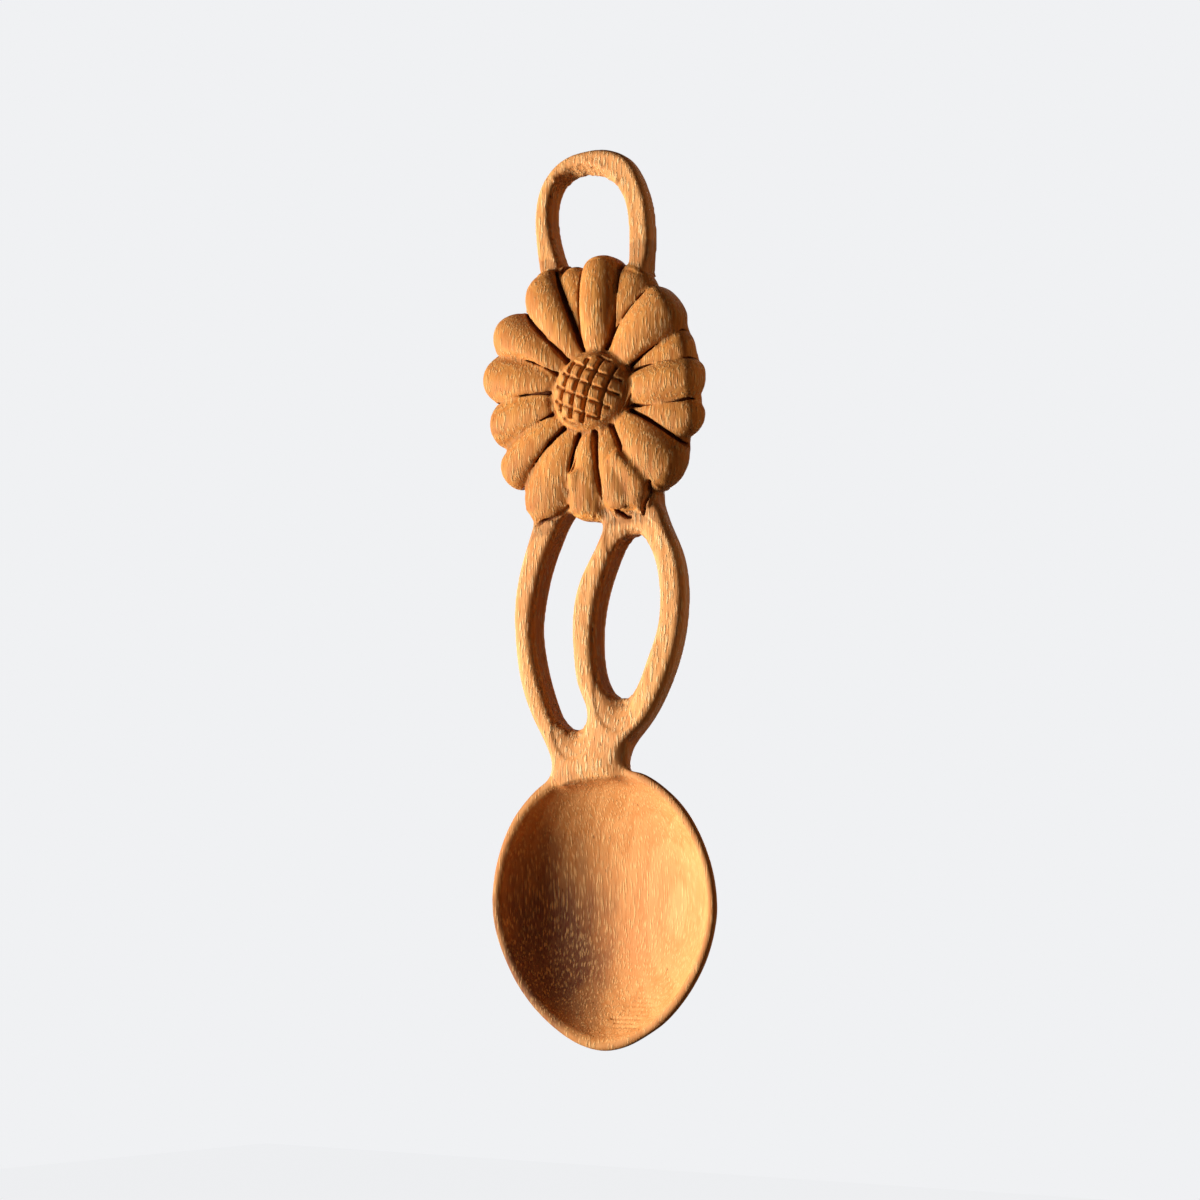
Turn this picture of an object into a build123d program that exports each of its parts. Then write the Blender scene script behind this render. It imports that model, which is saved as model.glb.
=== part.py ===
from build123d import *
import os
from math import cos, pi, radians, sin

# Hand carved love spoon, all lengths in millimetres.
# The carving is drawn as the carver sees it: x to the right, y up, z out of the flat back
# towards the viewer. The last step turns it so that it hangs upright, with its front at -Y.
# The origin is the seat at the top of the loop's hole, on the flat back of the billet.

# Hanging loop
loop_width = 28.0
loop_centre_x = -0.1
loop_rise = 4.9
loop_clear_height = 17.7
loop_overlap = 7.4
loop_thickness = 4.6
loop_left_band = 3.7
loop_right_band = 4.7
loop_hole_flare = 2.4
loop_rounding = 1.2

# Flower: sixteen petals round a domed disc, on one back plate
flower_radius = 27.0
flower_x = 2.8
plate_thickness = 2.4
plate_bevel = 2.0
front_petal_height = 8.2
back_petal_height = 6.4
petal_bow_radius = 30.0
front_groove_depth = 2.6
back_groove_depth = 1.4

# Domed disc, cross hatched with V grooves
disc_x = 2.1
disc_lift = 0.5
disc_width = 19.4
disc_height = 15.4
disc_wall_top = 6.4
disc_dome_rise = 4.0
disc_border_width = 0.8
disc_border_top = 6.2
flat_hatch_pitch = 2.8
steep_hatch_pitch = 3.35
hatch_depth = 0.8
hatch_width = 1.1

# Handle: three open stems that part below the flower and meet again at the neck
handle_width = 39.8
handle_x = 1.5
handle_overlap = 7.3
handle_length = 56.0
handle_thickness = 5.6
handle_rounding = 1.2
back_rounding = 0.7
left_stem_width = 4.7
right_stem_width = 4.7
left_slot_width = 17.9
left_web_length = 2.5
left_neck_length = 9.6
right_slot_width = 15.2
right_web_length = 8.8
right_neck_length = 15.2

# Bowl
bowl_width = 53.8
bowl_x = 2.3
bowl_upper_length = 27.8
bowl_lower_length = 28.0
bowl_depth = 12.8
bowl_wall = 2.2
bowl_floor = 2.4
rim_bevel = 0.6
neck_overlap = 3.0
neck_corner_radius = 5.0

# Room that cutting tools take past the wood
overrun = 3.0

# Angles, in degrees
bowl_tilt = 2.7
bowl_turn = -0.8
flat_hatch_angle = -25
steep_hatch_angle = 69

# Shares of the loop's width and height: the outer line from the left arm over the top
loop_outer_shares = (
    (-0.440, 1.000), (-0.482, 0.635), (-0.499, 0.379), (-0.440, 0.169), (-0.276, 0.033),
    (0.000, 0.000), (0.236, 0.061), (0.396, 0.243), (0.476, 0.455), (0.496, 0.718),
    (0.476, 1.000),
)
# Shares of the hole's width and drop, and of its flare towards the front
loop_hole_shares = (
    (-0.20, 1.00, 0.0), (-0.375, 0.60, 0.0), (-0.50, 0.26, 0.1), (-0.45, 0.09, 0.5),
    (-0.34, 0.02, 0.9), (-0.15, 0.00, 1.0), (0.10, 0.037, 0.9), (0.28, 0.12, 0.6),
    (0.43, 0.24, 0.3), (0.50, 0.42, 0.0), (0.51, 0.62, 0.0), (0.47, 1.00, 0.0),
)
# Grooves between the petals, clockwise from the one left of the top petal: the angle close to
# the disc, half way and at the notch, then how far out the middle point and the notch lie
groove_shares = (
    (339.5, 347.5, 350.4, 0.68, 0.985), (5.0, 17.5, 10.8, 0.63, 0.955),
    (20.0, 24.8, 32.1, 0.64, 0.870), (63.0, 59.9, 60.6, 0.60, 0.795),
    (67.5, 73.8, 77.6, 0.62, 0.800), (107.5, 105.7, 98.9, 0.58, 0.800),
    (125.5, 119.0, 121.9, 0.64, 0.845), (147.0, 149.5, 149.1, 0.63, 0.870),
    (178.5, 175.4, 173.5, 0.50, 0.818), (209.0, 202.4, 199.0, 0.56, 0.820),
    (227.0, 231.0, 229.4, 0.66, 0.940), (250.5, 254.3, 252.1, 0.65, 0.945),
    (274.5, 276.9, 273.6, 0.67, 0.935), (294.0, 300.2, 294.6, 0.68, 1.055),
    (318.0, 317.7, 315.6, 0.71, 1.010), (334.0, 339.0, 336.2, 0.75, 1.086),
)
# Petal tips in the same order: angle, reach, and whether the petal lies in front
tip_shares = (
    (0.1, 1.064, True), (18.6, 0.975, False), (44.7, 0.912, True), (70.5, 0.835, False),
    (88.9, 0.885, True), (109.4, 0.930, False), (136.7, 0.972, True), (164.8, 0.929, True),
    (185.8, 0.935, True), (212.5, 1.030, True), (238.2, 1.022, True), (263.5, 1.008, True),
    (284.2, 1.132, True), (304.2, 1.185, True), (328.5, 1.159, True), (343.3, 1.108, False),
)
# Where the grooves start inside the disc, and how full the rounded tips are
groove_start_share = 0.22
tip_fullness_share = 0.9
# Where along a petal its back arches highest
petal_crest_share = 0.45

# Shares of the handle's width and length
handle_left_shares = (
    (-0.353, 0.000), (-0.391, 0.100), (-0.458, 0.225), (-0.498, 0.366), (-0.498, 0.482),
    (-0.458, 0.654), (-0.356, 0.814), (-0.279, 0.911), (-0.268, 0.957), (-0.318, 1.000),
    (-0.340, 1.045),
)
handle_right_shares = (
    (0.358, 0.000), (0.381, 0.098), (0.460, 0.225), (0.500, 0.359), (0.495, 0.455),
    (0.460, 0.575), (0.373, 0.718), (0.231, 0.854), (0.163, 0.929), (0.177, 0.964),
    (0.246, 1.000), (0.285, 1.045),
)
# Shares of each slot's width and length, once round from its top
left_slot_shares = (
    (0.27, 0.00), (-0.01, 0.01), (-0.21, 0.123), (-0.33, 0.229), (-0.455, 0.387),
    (-0.50, 0.524), (-0.43, 0.707), (-0.30, 0.860), (-0.10, 0.984), (0.06, 1.000),
    (0.195, 0.975), (0.225, 0.931), (0.135, 0.824), (0.058, 0.673), (0.043, 0.503),
    (0.083, 0.400), (0.185, 0.297), (0.33, 0.206), (0.465, 0.100), (0.50, 0.032),
)
right_slot_shares = (
    (0.11, 0.000), (-0.07, 0.028), (-0.24, 0.148), (-0.40, 0.333), (-0.50, 0.585),
    (-0.485, 0.774), (-0.39, 0.921), (-0.25, 0.988), (-0.10, 1.000), (0.08, 0.965),
    (0.32, 0.777), (0.485, 0.569), (0.515, 0.399), (0.455, 0.201), (0.30, 0.053),
)
# Where the stems are told apart, in shares of each slot's width and length
left_seam_shares = ((0.20, -0.20), (0.10, 0.15), (-0.22, 0.50), (0.06, 0.98))
right_seam_shares = ((0.11, -0.40), (0.11, 0.03), (0.00, 0.50), (-0.10, 0.98))
# The neck starts this far down the handle at its outer edges
neck_left_share = 0.835
neck_right_share = 0.800

# Bowl: depths of the slices as shares of its depth, and the fullness of its curves
slice_depth_shares = (0.0, 0.15, 0.32, 0.5, 0.68, 0.83, 0.94, 0.99)
slice_points = 36
side_power = 1.45
floor_power = 0.5
tip_power = 1.75

# Places that follow from the sizes: the loop stands on the top petal, the handle and the bowl
# hang from the flower
petal_count = len(tip_shares)
top_petal_reach = tip_shares[0][1] * flower_radius
loop_drop = loop_clear_height + loop_overlap
flower_y = -loop_clear_height - top_petal_reach
disc_y = flower_y + disc_lift
handle_top_y = flower_y - flower_radius + handle_overlap
bowl_top_y = handle_top_y - handle_length + neck_overlap
bowl_centre_y = bowl_top_y - bowl_upper_length
left_slot_box = (
    handle_x - handle_width / 2 + left_stem_width + left_slot_width / 2,
    handle_top_y - left_web_length,
    left_slot_width,
    handle_length - left_web_length - left_neck_length,
)
right_slot_box = (
    handle_x + handle_width / 2 - right_stem_width - right_slot_width / 2,
    handle_top_y - right_web_length,
    right_slot_width,
    handle_length - right_web_length - right_neck_length,
)


def heading(angle):
    """Direction at a clockwise angle from the top."""
    return Vector(sin(radians(angle)), cos(radians(angle)))


def polar(angle, radius):
    """Point of the flower at a clockwise angle from the top."""
    return Vector(flower_x, flower_y) + heading(angle) * radius


def closed_face(points):
    """Face inside a smooth closed line."""
    return Face(Wire([Spline(*points, periodic=True)]))


def slab(face, bottom, top):
    """Solid between two heights with the face as its plan."""
    return Pos(0, 0, bottom) * extrude(face, amount=top - bottom, dir=(0, 0, 1))


def groove(index):
    """Curved line between two petals, from inside the disc out to the notch."""
    near, half, far, half_share, far_share = groove_shares[index % petal_count]
    return ThreePointArc(
        polar(near, groove_start_share * flower_radius),
        polar(half, half_share * flower_radius),
        polar(far, far_share * flower_radius),
    )


def petal_plan(index):
    """Plan of one petal between its two grooves, with a rounded tip."""
    first = groove(index)
    second = groove(index + 1)
    tip_angle, reach_share, _ = tip_shares[index]
    tip = polar(tip_angle, reach_share * flower_radius)
    outward = heading(tip_angle)
    tip_line = Spline(
        first @ 1, tip, second @ 1,
        tangents=(outward, outward * -1),
        tangent_scalars=(tip_fullness_share, tip_fullness_share),
    )
    base_line = Line(second @ 0, first @ 0)
    return -Face(Wire([first, tip_line, second, base_line]))


def disc_plan(extra=0):
    """Plan of the disc, or of the border round it."""
    plan = Ellipse(disc_width / 2 + extra, disc_height / 2 + extra)
    return Pos(disc_x, disc_y) * plan


def petal(index):
    """One crowned petal: its plan under a bowed, round-backed form."""
    plan = petal_plan(index)
    tip_angle, reach_share, in_front = tip_shares[index]
    height = front_petal_height if in_front else back_petal_height
    depth = front_groove_depth if in_front else back_groove_depth
    start = polar(tip_angle, disc_width / 2)
    tip = polar(tip_angle, reach_share * flower_radius)
    along = heading(tip_angle)
    half_width = (groove(index) @ 1 - groove(index + 1) @ 1).length / 2
    round_radius = (half_width ** 2 + depth ** 2) / (2 * depth)
    crest = start + (tip - start) * petal_crest_share
    frame = Plane(
        origin=(crest.X, crest.Y, height - petal_bow_radius),
        x_dir=(along.X, along.Y, 0),
        z_dir=(along.Y, -along.X, 0),
    )
    back = frame.location * Torus(petal_bow_radius - round_radius, round_radius)
    block = slab(plan - disc_plan(disc_border_width), plate_thickness, height + overrun)
    return block & back


def make_petals():
    """All petals, named by their place round the flower."""
    return {f"petal_{index + 1:02d}": petal(index) for index in range(petal_count)}


def flower_plan():
    """Outline of the whole flower."""
    plan = disc_plan(disc_border_width)
    for index in range(petal_count):
        plan += petal_plan(index)
    return Face(plan.face().outer_wire())


def flower_plate(plan, bottom):
    """Back plate, drawn in all round towards the flat back at the given height."""
    shrink = 1 - plate_bevel / flower_radius
    centre = Pos(flower_x, flower_y)
    back = centre * scale(centre.inverse() * plan, shrink)
    sides = [Pos(0, 0, bottom) * back, Pos(0, 0, plate_thickness) * plan]
    return loft(sides, ruled=True)


def hatch_tool(angle, offset, sphere_radius, sphere_centre):
    """Ring with a V section that scores one line across the dome."""
    top = (sphere_radius ** 2 - offset ** 2) ** 0.5
    profile = Polyline(
        (top - hatch_depth, offset),
        (top + hatch_depth, offset - hatch_width),
        (top + hatch_depth, offset + hatch_width),
        close=True,
    )
    ring = revolve(Face(Wire(profile.edges())), axis=Axis.Y)
    return Pos(*sphere_centre) * Rot(0, 0, angle) * ring


def make_disc():
    """Cross hatched dome in the middle of the flower."""
    half_span = disc_width / 2
    sphere_radius = (half_span ** 2 + disc_dome_rise ** 2) / (2 * disc_dome_rise)
    dome_top = disc_wall_top + disc_dome_rise
    centre = (disc_x, disc_y, dome_top - sphere_radius)
    disc = slab(disc_plan(), plate_thickness, dome_top)
    disc &= Pos(*centre) * Sphere(sphere_radius)
    families = (
        (flat_hatch_angle, flat_hatch_pitch),
        (steep_hatch_angle, steep_hatch_pitch),
    )
    for angle, pitch in families:
        line_count = round(half_span / pitch)
        for line in range(-line_count, line_count):
            offset = line * pitch + pitch / 2
            disc -= hatch_tool(angle, offset, sphere_radius, centre)
    return disc


def make_border():
    """Low rough border between the disc and the petals."""
    plan = disc_plan(disc_border_width) - disc_plan()
    return slab(plan, plate_thickness, disc_border_top)


def round_edges(solid, front, back):
    """Round the curved edges at the front and the back of a slab."""
    for radius, level in ((front, -1), (back, 0)):
        edges = solid.edges().group_by(Axis.Z)[level]
        solid = fillet(edges.filter_by(GeomType.LINE, reverse=True), radius)
    return solid


def make_loop(flower_block):
    """Flat loop that the spoon hangs by, with a hole that flares at its top."""
    height = loop_rise + loop_drop
    outer = [
        (loop_centre_x + x_share * loop_width, loop_rise - y_share * height)
        for x_share, y_share in loop_outer_shares
    ]
    line = Spline(*outer)
    loop = slab(Face(Wire([line, Line(line @ 1, line @ 0)])), 0, loop_thickness)
    loop = round_edges(loop, loop_rounding, back_rounding)
    left = loop_centre_x - loop_width / 2 + loop_left_band
    right = loop_centre_x + loop_width / 2 - loop_right_band
    faces = []
    for level in (-overrun, loop_thickness + overrun):
        flare = loop_hole_flare * level / loop_thickness
        points = [
            (
                (left + right) / 2 + x_share * (right - left),
                flare * flare_share - y_share * (loop_drop + overrun),
            )
            for x_share, y_share, flare_share in loop_hole_shares
        ]
        side = Spline(*points)
        face = Face(Wire([side, Line(side @ 1, side @ 0)]))
        faces.append(Pos(0, 0, level) * face)
    return loop - loft(faces, ruled=True) - flower_block


def slot_point(x_share, y_share, centre_x, top, width, length):
    """Place inside a slot from its shares."""
    return (centre_x + x_share * width, top - y_share * length)


def handle_point(x_share, y_share):
    """Place on the handle from its shares."""
    return (handle_x + x_share * handle_width, handle_top_y - y_share * handle_length)


def make_handle(flower_block, bowl_block):
    """The three stems and the neck, rounded as one and told apart at the slots' ends."""
    left_line = Spline(*[handle_point(*share) for share in handle_left_shares])
    right_line = Spline(*[handle_point(*share) for share in handle_right_shares])
    top_line = Line(right_line @ 0, left_line @ 0)
    bottom_line = Line(left_line @ 1, right_line @ 1)
    plan = Face(Wire([left_line, bottom_line, right_line, top_line]))
    plan = fillet(plan.vertices().group_by(Axis.Y)[0], neck_corner_radius)
    for shares, box in ((left_slot_shares, left_slot_box), (right_slot_shares, right_slot_box)):
        plan -= closed_face([slot_point(*share, *box) for share in shares])
    left_seam = [slot_point(*share, *left_slot_box) for share in left_seam_shares]
    right_seam = [slot_point(*share, *right_slot_box) for share in right_seam_shares]
    bottom = bowl_centre_y
    neck_left = handle_point(-1, neck_left_share)
    neck_right = handle_point(1, neck_right_share)
    regions = {
        "stem_left": left_seam + [neck_left, (neck_left[0], left_seam[0][1])],
        "stem_middle": left_seam + right_seam[::-1],
        "stem_right": right_seam + [neck_right, (neck_right[0], right_seam[0][1])],
        "neck": [neck_left, left_seam[-1], right_seam[-1], neck_right,
                 (neck_right[0], bottom), (neck_left[0], bottom)],
    }
    pieces = {}
    for name, corners in regions.items():
        region = plan & Face(Wire(Polyline(*corners, close=True).edges()))
        piece = round_edges(slab(region, 0, handle_thickness), handle_rounding, back_rounding)
        pieces[name] = piece - flower_block - bowl_block
    return pieces


def egg(half_width, upper, lower, scale, height):
    """Egg shaped slice of the bowl at one height."""
    points = []
    for step in range(slice_points):
        turn = 2 * pi * step / slice_points
        across, along = cos(turn), sin(turn)
        if along < 0:
            power = 2 / tip_power
            x = half_width * abs(across) ** power * (1 if across > 0 else -1)
            y = -lower * abs(along) ** power
        else:
            x = half_width * across
            y = upper * along
        points.append((bowl_x + scale * x, bowl_centre_y + scale * y))
    return Pos(0, 0, height) * closed_face(points)


def bowl_form(inset, depth):
    """Hollow or outside of the bowl, from the rim down."""
    slices = []
    for depth_share in slice_depth_shares:
        scale = (1 - depth_share ** side_power) ** floor_power
        slices.append(egg(
            bowl_width / 2 - inset, bowl_upper_length - inset, bowl_lower_length - inset,
            scale, handle_thickness - depth * depth_share,
        ))
    return loft(slices)


def make_bowl():
    """Bowl with a bevelled rim, leaning back from the neck, and the block it was cut from."""
    outside = bowl_form(0, bowl_depth)
    bowl = outside - bowl_form(bowl_wall, bowl_depth - bowl_floor)
    bowl = chamfer(bowl.edges().group_by(Axis.Z)[-1], rim_bevel)
    hinge = Pos(bowl_x, bowl_top_y, handle_thickness)
    middle = Pos(bowl_x, bowl_centre_y)
    turn = middle * Rot(0, 0, bowl_turn) * middle.inverse()
    lean = hinge * Rot(bowl_tilt, 0, 0) * hinge.inverse() * turn
    return lean * bowl, lean * outside


def main():
    """Build every piece, stand the spoon upright and write one file for each."""
    plan = flower_plan()
    plate = flower_plate(plan, 0)
    flower_block = plate + slab(plan, plate_thickness, front_petal_height + overrun)
    bowl, bowl_block = make_bowl()
    pieces = {"hanging_loop": make_loop(flower_block)}
    pieces["flower_back"] = plate
    pieces.update(make_petals())
    pieces["disc_border"] = make_border()
    pieces["flower_disc"] = make_disc()
    pieces.update(make_handle(flower_block, bowl_block))
    pieces["bowl"] = bowl
    os.makedirs("parts", exist_ok=True)
    for name, piece in pieces.items():
        export_step(Rot(90, 0, 0) * piece, f"parts/{name}.step")


main()
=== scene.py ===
"""A carved love spoon: hanging loop, daisy, three open stems and a bowl, cut from one billet.

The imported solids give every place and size. Each sub-assembly's solids become a signed distance
field, which is worn round, filled and cut as wood is with a knife. The fields are joined, because
the spoon is one piece of wood, and the skin of the result is cut again into the named regions.
Fields are in millimetres, meshes in metres.
"""

import logging
import math
from dataclasses import dataclass, field
from enum import Enum

import bmesh
import bpy
import numpy as np
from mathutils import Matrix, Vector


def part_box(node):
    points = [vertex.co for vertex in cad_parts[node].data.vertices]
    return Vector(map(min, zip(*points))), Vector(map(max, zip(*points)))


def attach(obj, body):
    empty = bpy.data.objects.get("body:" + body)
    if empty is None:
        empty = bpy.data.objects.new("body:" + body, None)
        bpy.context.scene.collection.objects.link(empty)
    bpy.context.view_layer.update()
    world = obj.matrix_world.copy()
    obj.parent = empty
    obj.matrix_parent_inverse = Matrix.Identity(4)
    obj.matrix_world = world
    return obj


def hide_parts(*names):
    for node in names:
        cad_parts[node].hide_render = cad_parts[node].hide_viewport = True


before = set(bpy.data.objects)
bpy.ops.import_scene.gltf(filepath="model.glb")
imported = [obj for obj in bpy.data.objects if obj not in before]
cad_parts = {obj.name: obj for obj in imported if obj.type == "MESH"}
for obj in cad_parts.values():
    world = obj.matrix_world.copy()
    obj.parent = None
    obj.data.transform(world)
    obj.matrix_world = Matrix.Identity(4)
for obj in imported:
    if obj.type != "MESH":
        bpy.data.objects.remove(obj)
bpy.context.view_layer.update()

import openvdb as vdb
from mathutils import Vector

MM = 0.001

# Sample spacing of the fields, and how far from the surface they measure, in millimetres
STEP = 0.25
BAND = 3.0

# Where a value starts to count, where it counts in full, and the least and most that it gives
Span = tuple[float, float, float, float]
SPAN_SOCKETS = ("From Min", "From Max", "To Min", "To Max")

log = logging.getLogger("love_spoon")


# Signed distance fields


@dataclass
class Block:
    """A box of signed distances in millimetres, negative in wood.

    Args:
        low: grid index of the first sample.
        values: the distances.
    """

    low: np.ndarray
    values: np.ndarray

    @property
    def high(self) -> np.ndarray:
        """Grid index just past the last sample."""
        return self.low + self.values.shape

    def window(self, low: np.ndarray, high: np.ndarray) -> np.ndarray:
        """The samples between two grid indices, as a view that can be written to."""
        start, end = low - self.low, high - self.low
        return self.values[tuple(slice(a, b) for a, b in zip(start, end))]

    def part(self, low: tuple[float, ...], high: tuple[float, ...]) -> "Block":
        """The samples between two places in millimetres, as a view that can be written to.

        Args:
            low: the lowest place.
            high: the highest place.

        Returns:
            The view, which stays inside the block.
        """
        start = np.maximum(np.floor(np.array(low) / STEP).astype(int), self.low + 1)
        end = np.minimum(np.ceil(np.array(high) / STEP).astype(int), self.high - 1)
        return Block(start, self.window(start, end))

    def shared(self, other: "Block") -> tuple[np.ndarray, np.ndarray]:
        """Lowest and highest grid index of the box that two blocks have in common."""
        return np.maximum(self.low, other.low), np.minimum(self.high, other.high)

    def cropped(self, other: "Block") -> "Block":
        """A copy of the samples that lie in another block's box as well."""
        low, high = self.shared(other)
        return Block(low, self.window(low, high).copy())

    def capped(self) -> "Block":
        """A copy with air all round it, so that its surface is closed."""
        return Block(self.low - 1, np.pad(self.values, 1, constant_values=np.float32(STEP)))

    def axes(self) -> tuple[np.ndarray, np.ndarray, np.ndarray]:
        """Places of the samples along X, Y and Z, shaped to broadcast.

        Returns:
            Millimetres along X, Y and Z.
        """
        lines = [
            ((self.low[axis] + np.arange(self.values.shape[axis])) * STEP).astype(np.float32)
            for axis in range(3)
        ]
        return lines[0][:, None, None], lines[1][None, :, None], lines[2][None, None, :]

    def at(self, points: np.ndarray) -> np.ndarray:
        """Distances at points, by trilinear interpolation.

        Args:
            points: places in millimetres, one per row.

        Returns:
            One distance per point. Points outside the box read its edge.
        """
        # The last cell starts one sample before the end
        inside = np.array(self.values.shape) - 1.001
        place = np.clip(points / STEP - self.low, 0, inside)
        cell = place.astype(np.int64)
        part = place - cell
        total = np.zeros(len(points))
        for corner in np.ndindex(2, 2, 2):
            weight = np.prod(np.where(corner, part, 1 - part), axis=1)
            i, j, k = (cell + corner).T
            total += weight * self.values[i, j, k]
        return total

    def surface(self, level: float = 0.0, adaptivity: float = 0.0) -> "Shell":
        """The surface where the field has a level.

        Args:
            level: distance from the wood's surface, in millimetres.
            adaptivity: how far flat areas may be meshed with larger faces, 0 to 1.

        Returns:
            The surface, facing outwards.
        """
        grid = vdb.FloatGrid(float(self.values.max()))
        grid.gridClass = vdb.GridClass.LEVEL_SET
        grid.transform = vdb.createLinearTransform(STEP)
        grid.copyFromArray(self.values, ijk=tuple(int(i) for i in self.low))
        points, triangles, quads = grid.convertToPolygons(isovalue=level, adaptivity=adaptivity)
        faces = [np.array(kind, np.int64) for kind in (triangles, quads) if len(kind)]
        points = np.array(points, float)
        a, b, c = (points[max(faces, key=len)[:, i]] for i in range(3))
        if np.einsum("ij,ij->i", a, np.cross(b, c)).sum() < 0:
            faces = [kind[:, ::-1] for kind in faces]
        return Shell(points, faces)


@dataclass
class Shell:
    """A closed surface.

    Args:
        points: places in millimetres.
        faces: arrays of triangles and quads.
    """

    points: np.ndarray
    faces: list[np.ndarray]

    def distance(self, band: float = BAND) -> Block:
        """Signed distance to the surface.

        Args:
            band: how far from the surface it is measured, in millimetres.

        Returns:
            The field, on a box that holds the surface and the band.
        """
        sized = {kind.shape[1]: kind.astype(np.uint32) for kind in self.faces}
        grid = vdb.FloatGrid.createLevelSetFromPolygons(
            self.points.astype(np.float32),
            triangles=sized.get(3),
            quads=sized.get(4),
            transform=vdb.createLinearTransform(STEP),
            halfWidth=band / STEP,
        )
        edge = int(math.ceil(band / STEP)) + 1
        low = np.floor(self.points.min(0) / STEP).astype(int) - edge
        high = np.ceil(self.points.max(0) / STEP).astype(int) + edge
        values = np.empty(tuple(high - low), np.float32)
        grid.copyToArray(values, ijk=tuple(int(i) for i in low))
        return Block(low, values)


def box_mm(name: str) -> tuple[np.ndarray, np.ndarray]:
    """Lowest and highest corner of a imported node, in millimetres."""
    low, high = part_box(name)
    return np.array(low) / MM, np.array(high) / MM


def mesh_shell(mesh: bpy.types.Mesh) -> Shell:
    """The surface of a mesh that is in metres.

    Args:
        mesh: the mesh.

    Returns:
        Its surface as triangles, in millimetres.
    """
    mesh.calc_loop_triangles()
    points = np.empty(len(mesh.vertices) * 3, np.float32)
    mesh.vertices.foreach_get("co", points)
    triangles = np.empty(len(mesh.loop_triangles) * 3, np.int32)
    mesh.loop_triangles.foreach_get("vertices", triangles)
    return Shell(points.reshape(-1, 3) / MM, [triangles.reshape(-1, 3)])


def smooth_min(a: np.ndarray, b: np.ndarray, blend: float) -> np.ndarray:
    """Smaller of two fields, with a fillet where they meet.

    Args:
        a: one field.
        b: the other.
        blend: width of the fillet in millimetres.

    Returns:
        The joined field.
    """
    if not blend:
        return np.minimum(a, b)
    near = np.maximum(blend - np.abs(a - b), 0) / blend
    return np.minimum(a, b) - near * near * blend / 4


def joined(blocks: list[Block], blend: float = 0.0) -> Block:
    """One field of several forms.

    Args:
        blocks: the forms.
        blend: width of the fillet where they meet, in millimetres.

    Returns:
        Their union, on a box that holds them all.
    """
    low = np.min([block.low for block in blocks], axis=0)
    high = np.max([block.high for block in blocks], axis=0)
    whole = Block(low, np.full(tuple(high - low), BAND, np.float32))
    for block in blocks:
        view = whole.window(block.low, block.high)
        view[...] = smooth_min(view, block.values, blend)
    return whole


def reworked(block: Block, fill: float, wear: float) -> Block:
    """A form with its creases filled and its edges worn round.

    Args:
        block: the form.
        fill: radius left in creases, in millimetres.
        wear: radius left on edges, in millimetres.

    Returns:
        The form, measured anew.
    """
    filled = block.surface(fill).distance(max(BAND, fill + wear + 1))
    worn = filled.surface(-fill - wear).distance(max(BAND, wear + 1))
    worn.values -= np.float32(wear)
    return worn


def limited(block: Block, guide: Block, reach: float) -> Block:
    """The share of a form that lies near another form.

    Args:
        block: the form.
        guide: what it has to lie near.
        reach: how far from the guide it may go, in millimetres.

    Returns:
        The share, on the box that both have.
    """
    low, high = block.shared(guide)
    near = guide.window(low, high) - np.float32(reach)
    return Block(low, np.maximum(block.window(low, high), near))


def blurred(values: np.ndarray, width: float) -> np.ndarray:
    """Gaussian blur of a field.

    Args:
        values: the samples.
        width: width of the blur in millimetres.

    Returns:
        New samples.
    """
    sigma = width / STEP
    reach = max(1, int(math.ceil(2.5 * sigma)))
    taps = np.exp(-0.5 * (np.arange(-reach, reach + 1) / sigma) ** 2)
    taps = (taps / taps.sum()).astype(np.float32)
    for axis in range(3):
        size = values.shape[axis]
        spread = [(reach, reach) if other == axis else (0, 0) for other in range(3)]
        padded = np.moveaxis(np.pad(values, spread, mode="edge"), axis, 0)
        total = taps[0] * padded[:size]
        for shift, tap in enumerate(taps[1:], start=1):
            total += tap * padded[shift:shift + size]
        values = np.moveaxis(total, 0, axis)
    return np.ascontiguousarray(values)


def uneven(block: Block, grain: tuple[float, float, float], seed: int) -> np.ndarray:
    """Smooth random values from -1 to 1 over a box.

    Args:
        block: gives the box.
        grain: size of the lumps along X, Y and Z, in millimetres.
        seed: fixes the draw.

    Returns:
        One value per sample.
    """
    random = np.random.default_rng(seed)
    sizes = [int(n * STEP / g) + 2 for n, g in zip(block.values.shape, grain)]
    values = random.uniform(-1, 1, sizes).astype(np.float32)
    for axis in range(3):
        place = np.arange(block.values.shape[axis]) * STEP / grain[axis]
        cell = place.astype(int)
        part = (place - cell).astype(np.float32)
        part = part * part * (3 - 2 * part)
        shape = [-1 if other == axis else 1 for other in range(3)]
        first = np.take(values, cell, axis=axis)
        second = np.take(values, cell + 1, axis=axis)
        values = first + (second - first) * part.reshape(shape)
    return values


# Gouges


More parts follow.
